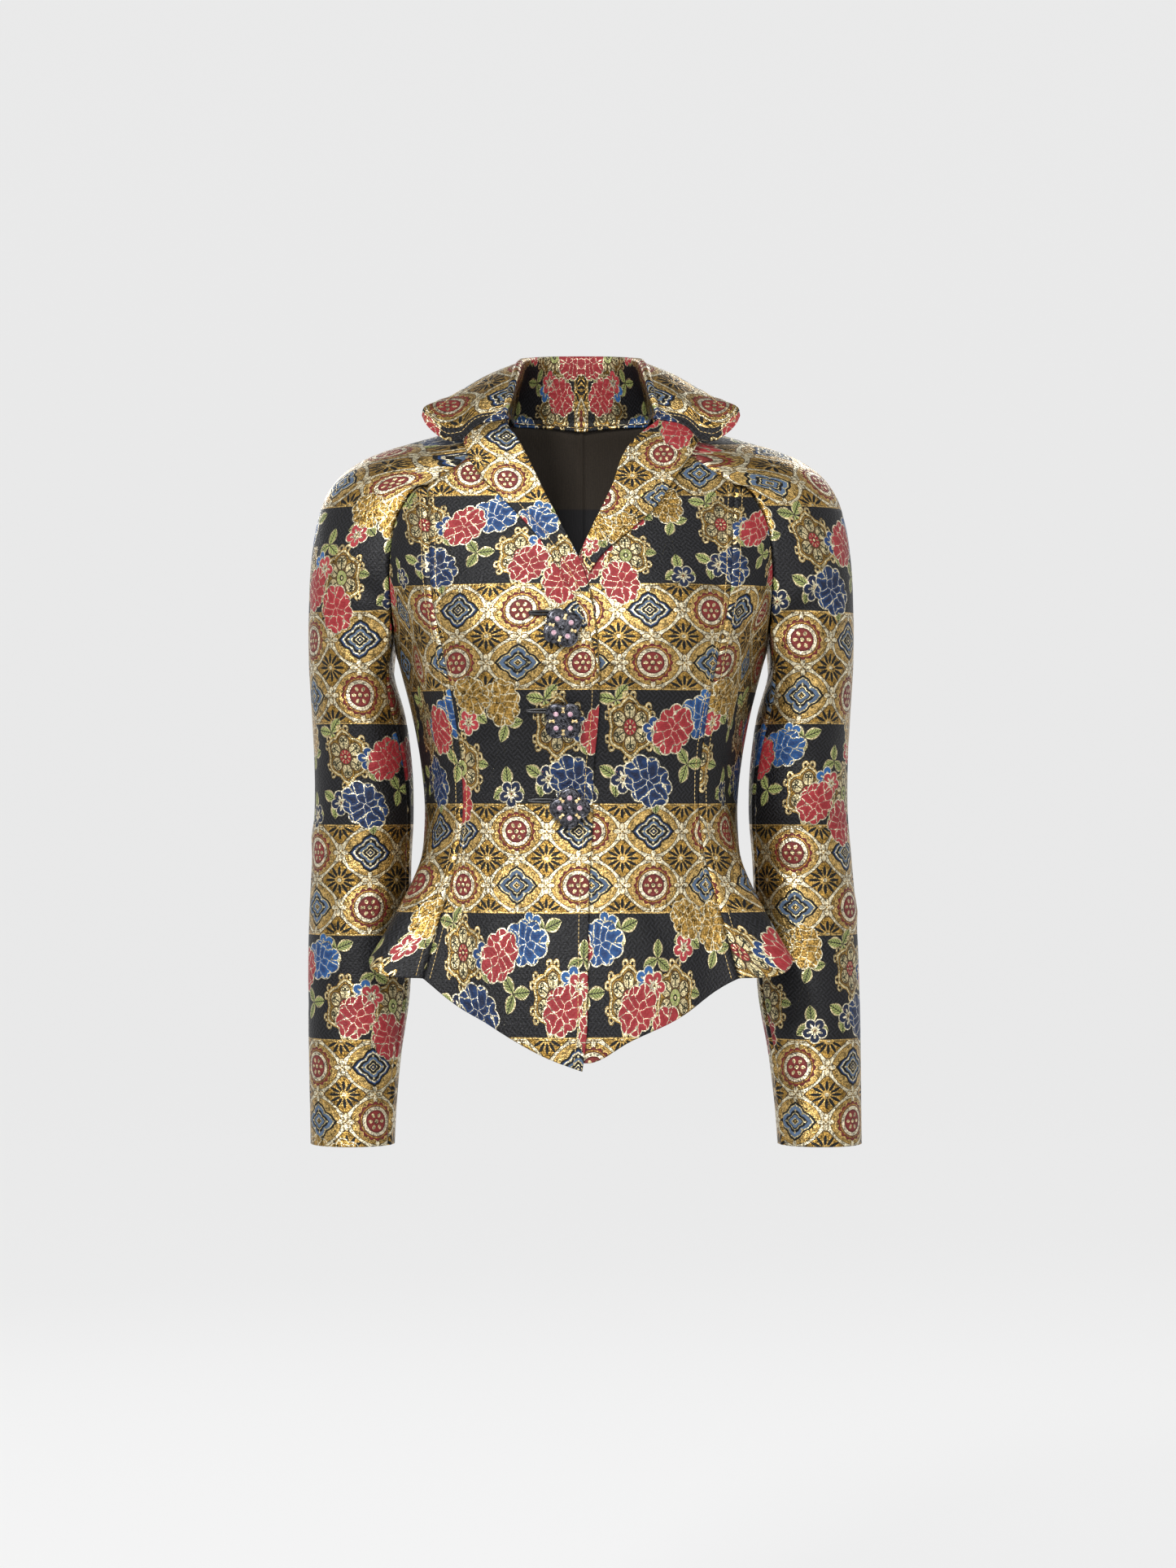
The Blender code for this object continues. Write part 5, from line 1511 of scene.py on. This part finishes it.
def collar_piece():
    left = collar_half(1)
    right = collar_half(-1) * MIRROR
    grid = np.concatenate([left, right[-2::-1]])[:, ::-1]
    length, width = COLLAR_SIZE
    down = stations(2 * COLLAR_NECK_STATIONS, length)
    points = resample(grid, down, stations(grid.shape[1] - 1, width))
    inward = -points[:, -1] * LEVEL
    inward /= np.linalg.norm(inward, axis=-1, keepdims=True)
    share = np.linspace(0, 1, len(points))
    turned = ease(np.minimum(share, 1 - share) / COLLAR_TURN_FADE)[:, None]
    turned = COLLAR_TURN_LEAST + (1 - COLLAR_TURN_LEAST) * turned
    for step in COLLAR_TURN:
        edge = points[:, -1] + turned * (inward * step[0] + np.array([0.0, 0.0, step[1]]))
        points = np.concatenate([points, edge[:, None]], axis=1)
    fall = side_distances(points)["left"]
    down = lengths(points)
    middle = down[:, fall.shape[1] // 3]
    along_collar = np.minimum(middle, middle[-1] - middle)[:, None] + 0 * fall
    cloth = np.stack([COLLAR_GRAIN - fall, along_collar + COLLAR_BAND_START], axis=-1)
    add_piece("collar", points, cloth, ["right"], np.zeros(points.shape[:2]))


def speckled(name, dark, light, scale, roughness, metallic=0.0, relief=0.0):
    """A finish whose colour and polish vary with a noise."""
    made, shader = new_material(name)
    place = Field(node("ShaderNodeTexCoord").outputs["Object"])
    speck = Field(node("ShaderNodeTexNoise", {"Vector": place, "Scale": scale, "Detail": 3.0}).outputs[0])
    colour, _ = ramp(speck, [(0.35, dark), (0.65, light)], smooth=True)
    drive(shader, "Base Color", colour)
    drive(shader, "Roughness", speck * 0.25 + (roughness - 0.12))
    shader.inputs["Metallic"].default_value = metallic
    if relief:
        drive(shader, "Normal", bump(0.5, relief, speck))
    return made


brocade = brocade_material()
reverse = reverse_material()
thread = speckled("gold_thread", tint("B08A48"), tint("E6CF95"), 900.0, 0.42, 0.35)
satin = speckled("black_satin", tint("08080A"), tint("17171A"), 500.0, 0.36, 0.0, 0.0002)
# Gunmetal: its lighter speckles are random tone of the metal and are also painted silver glints.
gunmetal = speckled("gunmetal", tint("121214"), tint("5C5C62"), 420.0, 0.30, 0.9, 0.0003)
gilt = speckled("gilt", tint("C9A766"), tint("F3E2B4"), 600.0, 0.34, 0.8)
crystal = speckled("crystal", tint("9A6F80"), tint("CDB2BC"), 700.0, 0.16)
gem = crystal.node_tree.nodes["Principled BSDF"].inputs
gem["Coat Weight"].default_value = 0.5
gem["Thin Film Thickness"].default_value = 460.0

HUNG_FROM = {
    "front": "sleeve_top", "side_front": "sleeve_top", "side_back": "sleeve_top", "back": "sleeve_top",
    "sleeve_under": "sleeve_top", "lapel": "front",
}

for wearer_side in (1, -1):
    body_pieces(wearer_side)
    sleeve_pieces(wearer_side)
    lapel_piece(wearer_side)
collar_piece()
for name, piece in pieces.items():
    made = piece.build((brocade, brocade) if name == "collar" else (brocade, reverse))
    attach(made, "root")
    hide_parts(name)
for name, piece in pieces.items():
    kind, _, side_name = name.rpartition("_")
    if name == "collar":
        rests, held = ["sleeve_top_left", "sleeve_top_right", "back_left", "back_right"], "folded"
    elif kind == "sleeve_top":
        rests, held = [f"front_{side_name}", f"back_{side_name}"], "hung"
    else:
        rests, held = [f"{HUNG_FROM[kind]}_{side_name}"], "folded" if kind == "lapel" else "hung"
    piece.flat()
    piece.area()


# Trims: topstitching, bound buttonholes, jewelled buttons

STITCH_LENGTH, STITCH_PITCH, STITCH_WIDTH = 0.0027, 0.0036, 0.00062
STITCH_RISE, STITCH_ARCH = 0.00016, 0.00022  # its middle rises by both, its ends by the first less the second
STITCH_SEAMS = (
    # piece, side it runs along, distance from that side
    ("sleeve_top", "top", 0.0070),
    ("front", "right", 0.0065),
    ("side_front", "left", 0.0065),
    ("front", "left", 0.0080),
    ("back", "left", 0.0065),
    ("back", "right", 0.0065),
    ("lapel", "right", 0.0070),
    ("lapel", "bottom", 0.0070),
)
COLLAR_STITCH_INSET = 0.0070
HOLE_LIP, HOLE_LIP_SPREAD, HOLE_LIP_SEAT = 0.0012, 0.0013, 0.0008
HOLE_STATIONS = 12
TIP_SHARE = 0.35  # of a strand's width at its very end

# The button's plate, and the rounded wire along its edge
LOBES = 4
PLATE_TURNS, PLATE_RINGS = 72, 9
PLATE_EDGE = 0.0002  # half the plate's thickness where it has no dome
DOME_SHARE = 0.62  # of the lobe's rise that the plate takes
EDGE_STATIONS, EDGE_INSET, EDGE_WIRE = 96, 0.0005, 0.00065
WIRE_LIFT = 0.4  # of its width, by which a wire's middle lies over the plate

# Filigree of each lobe, about its middle
LOBE_RINGS = (
    # radius, stations, width of the wire
    (0.0063, 32, 0.00038),
    (0.0034, 24, 0.00055),
)
GRAINS, GRAIN_CIRCLE, GRAIN_RADIUS, GRAIN_SEAT = 9, 0.0050, 0.00075, 0.0003
SCROLLS = (
    # distance from the button's middle, turn off the lobe's, start, way it winds, size, width of the wire
    (0.0139, 0.62, 0.0, 1, 0.0021, 0.00038),
    (0.0042, 0.50, math.pi, -1, 0.0016, 0.00034),
)
SCROLL_STATIONS, SCROLL_WIND, SCROLL_CLOSE = 14, 1.5 * math.pi, 0.72

# Stone of each lobe, boss in the middle, and the blades of the gilt leaves between the lobes
STONE_RADIUS, STONE_RISE, STONE_FACETS = 0.0024, 0.0015, 10
STONE_CUT = ((1.0, 0.0), (0.94, 0.45), (0.55, 1.0))  # shares of its radius and of its rise
BOSS_SIZE, BOSS_RING = np.array([0.0021, 0.0021, 0.0013]), (0.0028, 20, 0.0004)
BLADE_PLACE, BLADE_RISE, BLADE_TURNS = 0.0098, 0.0006, (-0.5, 0.0, 0.5)
BLADE_START, BLADE_END, BLADE_STATIONS = -0.0028, 0.0026, 6
BLADE_WIDTH, BLADE_HEIGHT = 0.00075, 0.0005
SHANK_TURNS = 12


def round_turns(count, start=0.0):
    return [start + 2 * math.pi * k / count for k in range(count)]


def at_turn(r, turn):
    return r * math.cos(turn), r * math.sin(turn)


def fan(count):
    """Triangles from corner 0 to the ring of count corners after it."""
    return [(0, 1 + k, 1 + (k + 1) % count) for k in range(count)]


def ring_faces(rings, count, first=1):
    """Quads between rings of count corners each, which start at the corner first."""
    faces = []
    for here in range(first, first + (rings - 1) * count, count):
        for k in range(count):
            after = (k + 1) % count
            faces.append((here + k, here + count + k, here + count + after, here + after))
    return faces


def flipped(faces):
    """The same faces the other way round, each from the same corner."""
    return [(face[0], *face[:0:-1]) for face in faces]


def tip_sizes(count):
    """Shares of a strand's width at its stations, less towards both tips."""
    place = np.arange(count)
    return np.minimum(1, TIP_SHARE + np.minimum(place, place[::-1]) * (1 - TIP_SHARE))


class Shape:
    """Corners, faces and material places of one mesh that grows part by part."""

    def __init__(self):
        self.points, self.faces, self.looks = [], [], []

    def add(self, points, faces, look=0):
        base = len(self.points)
        self.points += [tuple(float(c) for c in point) for point in points]
        self.faces += [tuple(base + k for k in face) for face in faces]
        self.looks += [look] * len(faces)

    def tube(self, path, ups, width, height=None, look=0, sides=6, closed=False):
        """A round or flattened strand along a path. ups are the surface's normals under it."""
        path, ups = np.asarray(path, float), np.asarray(ups, float)
        ahead = np.roll(path, -1, 0) - np.roll(path, 1, 0) if closed else np.gradient(path, axis=0)
        ahead /= np.linalg.norm(ahead, axis=1, keepdims=True)
        across = np.cross(ahead, ups)
        across /= np.linalg.norm(across, axis=1, keepdims=True)
        ups = np.cross(across, ahead)
        count = len(path)
        size = np.ones(count) if closed else tip_sizes(count)
        height = width if height is None else height
        points = []
        for place, side, up, share in zip(path, across, ups, size):
            for turn in round_turns(sides):
                off = side * width * math.cos(turn) + up * height * math.sin(turn)
                points.append(place + share * off)
        faces = []
        for i in range(count if closed else count - 1):
            here, there = i * sides, (i + 1) % count * sides
            for k in range(sides):
                after = (k + 1) % sides
                faces.append((here + k, here + after, there + after, there + k))
        if not closed:
            faces.append(tuple(range(sides)))
            faces.append(tuple(range(count * sides - 1, (count - 1) * sides - 1, -1)))
        self.add(points, faces, look)

    def ball(self, centre, size, turns=8, rings=5):
        """A ball, squashed if size has three radii."""
        size = np.ones(3) * size
        points = [centre + size * (0, 0, 1)]
        for i in range(1, rings):
            wide, high = math.sin(math.pi * i / rings), math.cos(math.pi * i / rings)
            points += [centre + size * (*at_turn(wide, turn), high) for turn in round_turns(turns)]
        points.append(centre - size * (0, 0, 1))
        last = len(points) - 1
        base = last - turns
        faces = fan(turns) + ring_faces(rings - 1, turns)
        faces += [(base + k, last, base + (k + 1) % turns) for k in range(turns)]
        self.add(points, faces)

    def build(self, name, materials, place=None, smooth=True):
        points = self.points if place is None else [tuple(place @ Vector(point)) for point in self.points]
        return add_mesh(name, points, self.faces, materials, self.looks, smooth)


def stitch_line(piece, side, inset):
    """Points and normals on a piece at one distance from a side."""
    distance = piece.distances[side]
    grid, normals = piece.laid, piece.outward
    if side in ("top", "bottom"):
        distance = distance.T
        grid, normals = np.swapaxes(grid, 0, 1), np.swapaxes(normals, 0, 1)
    if side in ("right", "bottom"):
        distance, grid, normals = distance[:, ::-1], grid[:, ::-1], normals[:, ::-1]
    points, ups = [], []
    for k in range(len(grid)):
        if distance[k, -1] > 1.5 * inset:
            points.append([np.interp(inset, distance[k], grid[k, :, c]) for c in range(3)])
            ups.append([np.interp(inset, distance[k], normals[k, :, c]) for c in range(3)])
    return np.array(points), np.array(ups)


def stitches(shape, points, ups):
    """A row of machine stitches, each a short strand whose ends dip into the cloth."""
    run = lengths(points)
    for start in np.arange(STITCH_PITCH, run[-1] - STITCH_PITCH, STITCH_PITCH):
        at = start + np.linspace(0, STITCH_LENGTH, 4)
        path = np.stack([np.interp(at, run, points[:, c]) for c in range(3)], axis=1)
        up = np.stack([np.interp(at, run, ups[:, c]) for c in range(3)], axis=1)
        up /= np.linalg.norm(up, axis=1, keepdims=True)
        lift = STITCH_RISE + STITCH_ARCH * np.array([-1.0, 1.0, 1.0, -1.0])
        shape.tube(path + up * lift[:, None], up, STITCH_WIDTH / 2, sides=5)


def topstitch():
    rows = {name: Shape() for name in pieces}
    for side in (1, -1):
        for kind, edge, inset in STITCH_SEAMS:
            name = f"{kind}_{side_of_name(side)}"
            edge = swapped([edge], side)[0]
            stitches(rows[name], *stitch_line(pieces[name], edge, inset))
    for edge in ("left", "top", "bottom"):
        stitches(rows["collar"], *stitch_line(pieces["collar"], edge, COLLAR_STITCH_INSET))
    for name, shape in rows.items():
        if shape.faces:
            made = shape.build(f"stitching_{name}", (thread,))
            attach(made, "root")


def on_upper_front(distance, height, off):
    """A point and its normal over the upper front, which is the wearer's right one."""
    angle = angle_at(distance, height)
    up = body_normal(angle, height) * MIRROR
    return body_point(angle, height) * MIRROR + up * (OVERLAP_LIFT + off), up


def bound_hole(number, near, far, height):
    """Two rolled lips of satin with pinched ends."""
    shape = Shape()
    share = np.linspace(0, 1, HOLE_STATIONS + 1)
    pinch = np.sqrt(np.sin(np.pi * np.clip(share, 0.02, 0.98)))
    for way in (1, -1):
        places = zip(near + (far - near) * share, height + way * HOLE_LIP_SPREAD * pinch)
        path, ups = zip(*[on_upper_front(x, z, HOLE_LIP_SEAT) for x, z in places])
        shape.tube(path, ups, HOLE_LIP, HOLE_LIP * 0.9, sides=10)
    made = shape.build(f"hole_lips_{number}", (satin,))
    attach(made, "root")
    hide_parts(f"buttonhole_{number}")


def plate_rise(x, y):
    """Height of the button's four domes over its waist."""
    domes = [(*at_turn(LOBE_OFFSET, turn), LOBE_RADIUS) for turn in round_turns(LOBES)]
    rise = 0.0
    for cx, cy, wide in domes + [(0.0, 0.0, BUTTON_CORE_RADIUS)]:
        off = ((x - cx) ** 2 + (y - cy) ** 2) / wide**2
        rise = max(rise, LOBE_RISE * DOME_SHARE * math.sqrt(max(0.0, 1 - off)))
    return rise


def plate_edge(turn):
    """The plate's radius at a turn: that of the nearest lobe's circle."""
    off = (turn + math.pi / LOBES) % (2 * math.pi / LOBES) - math.pi / LOBES
    return LOBE_OFFSET * math.cos(off) + math.sqrt(LOBE_RADIUS**2 - (LOBE_OFFSET * math.sin(off)) ** 2)


def on_plate(x, y, rise=0.0):
    return x, y, SHANK_LENGTH + plate_rise(x, y) + rise


def wire(shape, flat_path, width, closed=True):
    path = [on_plate(x, y, width * WIRE_LIFT) for x, y in flat_path]
    shape.tube(path, [(0, 0, 1)] * len(path), width, closed=closed)


def ring_wire(shape, cx, cy, r, count, width):
    path = [(cx + x, cy + y) for x, y in (at_turn(r, turn) for turn in round_turns(count))]
    wire(shape, path, width)


def scroll(cx, cy, turn, way, size):
    """The path of a small scroll that winds inward."""
    path = []
    for t in np.linspace(0, 1, SCROLL_STATIONS):
        x, y = at_turn(size * (1 - SCROLL_CLOSE * t), turn + way * SCROLL_WIND * t)
        path.append((cx + x, cy + y))
    return path


def button_plate(shape):
    grid = []
    for i in range(1, PLATE_RINGS + 1):
        share = math.sqrt(i / PLATE_RINGS)
        grid += [at_turn(plate_edge(turn) * share, turn) for turn in round_turns(PLATE_TURNS)]
    faces = fan(PLATE_TURNS) + ring_faces(PLATE_RINGS, PLATE_TURNS)
    for way in (1, -1):
        points = [(0, 0, SHANK_LENGTH + way * plate_rise(0, 0))]
        points += [(x, y, SHANK_LENGTH + way * (plate_rise(x, y) + PLATE_EDGE)) for x, y in grid]
        shape.add(points, faces if way > 0 else [face[::-1] for face in faces])
    edge = [at_turn(plate_edge(turn) - EDGE_INSET, turn) for turn in round_turns(EDGE_STATIONS)]
    wire(shape, edge, EDGE_WIRE)


def lobe_filigree(shape, lobe_turn):
    """Two rings, a circle of grains, and two pairs of scrolls."""
    cx, cy = at_turn(LOBE_OFFSET, lobe_turn)
    for r, count, width in LOBE_RINGS:
        ring_wire(shape, cx, cy, r, count, width)
    for turn in round_turns(GRAINS, lobe_turn + math.pi / GRAINS):
        x, y = at_turn(GRAIN_CIRCLE, turn)
        shape.ball(np.array(on_plate(cx + x, cy + y, GRAIN_SEAT)), GRAIN_RADIUS)
    for way in (1, -1):
        for distance, off, start, winds, size, width in SCROLLS:
            turn = lobe_turn + way * off
            path = scroll(*at_turn(distance, turn), turn + start, way * winds, size)
            wire(shape, path, width, closed=False)


def set_stone(stones, lobe_turn):
    cx, cy, seat = on_plate(*at_turn(LOBE_OFFSET, lobe_turn))
    points = []
    for wide, high in STONE_CUT:
        ring = [at_turn(STONE_RADIUS * wide, turn) for turn in round_turns(STONE_FACETS)]
        points += [(cx + x, cy + y, seat + STONE_RISE * high) for x, y in ring]
    table = tuple(range(2 * STONE_FACETS, 3 * STONE_FACETS))
    base = tuple(range(STONE_FACETS - 1, -1, -1))
    sides = flipped(ring_faces(len(STONE_CUT), STONE_FACETS, 0))
    stones.add(points, [table, base, *sides])


def gilt_leaf(shape, turn):
    """Three gilt blades in the corner between two lobes."""
    x, y, z = on_plate(*at_turn(BLADE_PLACE, turn), BLADE_RISE)
    for off in BLADE_TURNS:
        way_x, way_y = at_turn(1.0, turn + off)
        along_it = np.linspace(BLADE_START, BLADE_END, BLADE_STATIONS)
        path = [(x + way_x * s, y + way_y * s, z) for s in along_it]
        shape.tube(path, [(0, 0, 1)] * BLADE_STATIONS, BLADE_WIDTH, BLADE_HEIGHT, look=1)


def jewelled_button(number, distance, height, turn):
    """A quatrefoil of filigree with a stone in every lobe, on its shank."""
    shape, stones = Shape(), Shape()
    button_plate(shape)
    for lobe_turn in round_turns(LOBES):
        lobe_filigree(shape, lobe_turn)
        set_stone(stones, lobe_turn)
    shape.ball(np.array(on_plate(0, 0, GRAIN_SEAT)), BOSS_SIZE, turns=14, rings=8)
    ring_wire(shape, 0, 0, *BOSS_RING)
    for leaf_turn in round_turns(LOBES, math.pi / LOBES):
        gilt_leaf(shape, leaf_turn)
    rings = [(SHANK_RADIUS, 0.0), (SHANK_RADIUS, SHANK_LENGTH)]
    points = [(*at_turn(r, a), z) for r, z in rings for a in round_turns(SHANK_TURNS)]
    faces = flipped(ring_faces(len(rings), SHANK_TURNS, 0))
    shape.add(points, faces + [tuple(range(SHANK_TURNS - 1, -1, -1))])

    seat, normal = on_upper_front(-distance, height, BUTTON_SEAT)
    place = Matrix.Translation(Vector(seat)) @ Vector(normal).to_track_quat("Z", "Y").to_matrix().to_4x4()
    place = place @ Matrix.Rotation(math.radians(turn), 4, "Z")
    made = shape.build(f"filigree_{number}", (gunmetal, gilt), place)
    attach(made, "root")
    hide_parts(f"button_{number}")
    made = stones.build(f"stones_{number}", (crystal,), place, smooth=False)
    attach(made, "root")


topstitch()
for index, (hole_near, hole_far, hole_z) in enumerate(BUTTONHOLES, 1):
    bound_hole(index, hole_near, hole_far, hole_z)
for index, (button_x, button_z, button_turn) in enumerate(BUTTONS, 1):
    jewelled_button(index, button_x, button_z, button_turn)

# Stage, light and camera

VIEW_CENTRE = Vector((0.0061, 0.0, -0.305))
VIEW_DISTANCE = 3.5
LENS, SENSOR = 90.8, 36.0  # millimetres

lens_data = bpy.data.cameras.new("photo_view")
lens_data.lens = LENS
lens_data.sensor_width = SENSOR
lens_data.sensor_fit = "AUTO"
camera = bpy.data.objects.new("photo_view", lens_data)
camera.location = VIEW_CENTRE + Vector((0, -VIEW_DISTANCE, 0))
camera.rotation_euler = (math.radians(90), 0, 0)
bpy.context.scene.collection.objects.link(camera)
bpy.context.scene.camera = camera

STAGE_FLOOR = -1.25
STAGE_FLAT, STAGE_ROUND, STAGE_WALL = 7.0, 4.0, 14.0
STAGE_FLOOR_RINGS, STAGE_BEND_RINGS, STAGE_TURNS = 4, 12, 64


def make_stage():
    """A round studio: a level floor that curves up into a wall on every side."""
    steps = range(1, STAGE_FLOOR_RINGS + 1)
    profile = [(STAGE_FLAT * k / STAGE_FLOOR_RINGS, STAGE_FLOOR) for k in steps]
    for k in range(1, STAGE_BEND_RINGS + 1):
        out, up = at_turn(STAGE_ROUND, math.pi / 2 * k / STAGE_BEND_RINGS - math.pi / 2)
        profile.append((STAGE_FLAT + out, STAGE_FLOOR + STAGE_ROUND + up))
    profile.append((STAGE_FLAT + STAGE_ROUND, STAGE_FLOOR + STAGE_WALL))
    points = [(0.0, 0.0, STAGE_FLOOR)]
    points += [(*at_turn(r, turn), z) for r, z in profile for turn in round_turns(STAGE_TURNS)]
    faces = fan(STAGE_TURNS) + ring_faces(len(profile), STAGE_TURNS)
    paint = bpy.data.materials.new("studio")
    paint.use_nodes = True
    inputs = paint.node_tree.nodes["Principled BSDF"].inputs
    inputs["Base Color"].default_value = (0.18, 0.18, 0.18, 1)
    inputs["Roughness"].default_value = 0.9
    inputs["Specular IOR Level"].default_value = 0.1
    inputs["Emission Color"].default_value = (1.0, 1.0, 1.0, 1)
    inputs["Emission Strength"].default_value = 0.68
    add_mesh("studio", points, faces, (paint,), [0] * len(faces))


make_stage()

LAMPS = (
    # name, place, width, height, watts
    ("key", (-1.15, -2.9, 1.7), 0.6, 0.6, 122.0),
    ("fill", (1.5, -3.1, 0.6), 0.9, 1.1, 21.0),
    ("front", (0.2, -3.6, 0.9), 1.2, 0.8, 15.0),
    ("rim", (1.2, 2.8, 1.6), 0.9, 0.9, 20.0),
    ("rim_low", (-1.3, 2.8, 0.9), 0.9, 1.1, 18.0),
)
for name, place, width, height, watts in LAMPS:
    lamp = bpy.data.lights.new(name, "AREA")
    lamp.shape = "RECTANGLE"
    lamp.size, lamp.size_y = width, height
    lamp.energy = watts
    holder = bpy.data.objects.new(name, lamp)
    holder.location = place
    holder.rotation_euler = (VIEW_CENTRE - Vector(place)).to_track_quat("-Z", "Y").to_euler()
    bpy.context.scene.collection.objects.link(holder)

world = bpy.data.worlds.new("studio")
world.use_nodes = True
sky = world.node_tree.nodes["Background"].inputs
sky["Color"].default_value = (0.95, 0.97, 1.0, 1)
sky["Strength"].default_value = 0.30
bpy.context.scene.world = world
bpy.context.scene.view_settings.view_transform = "Standard"
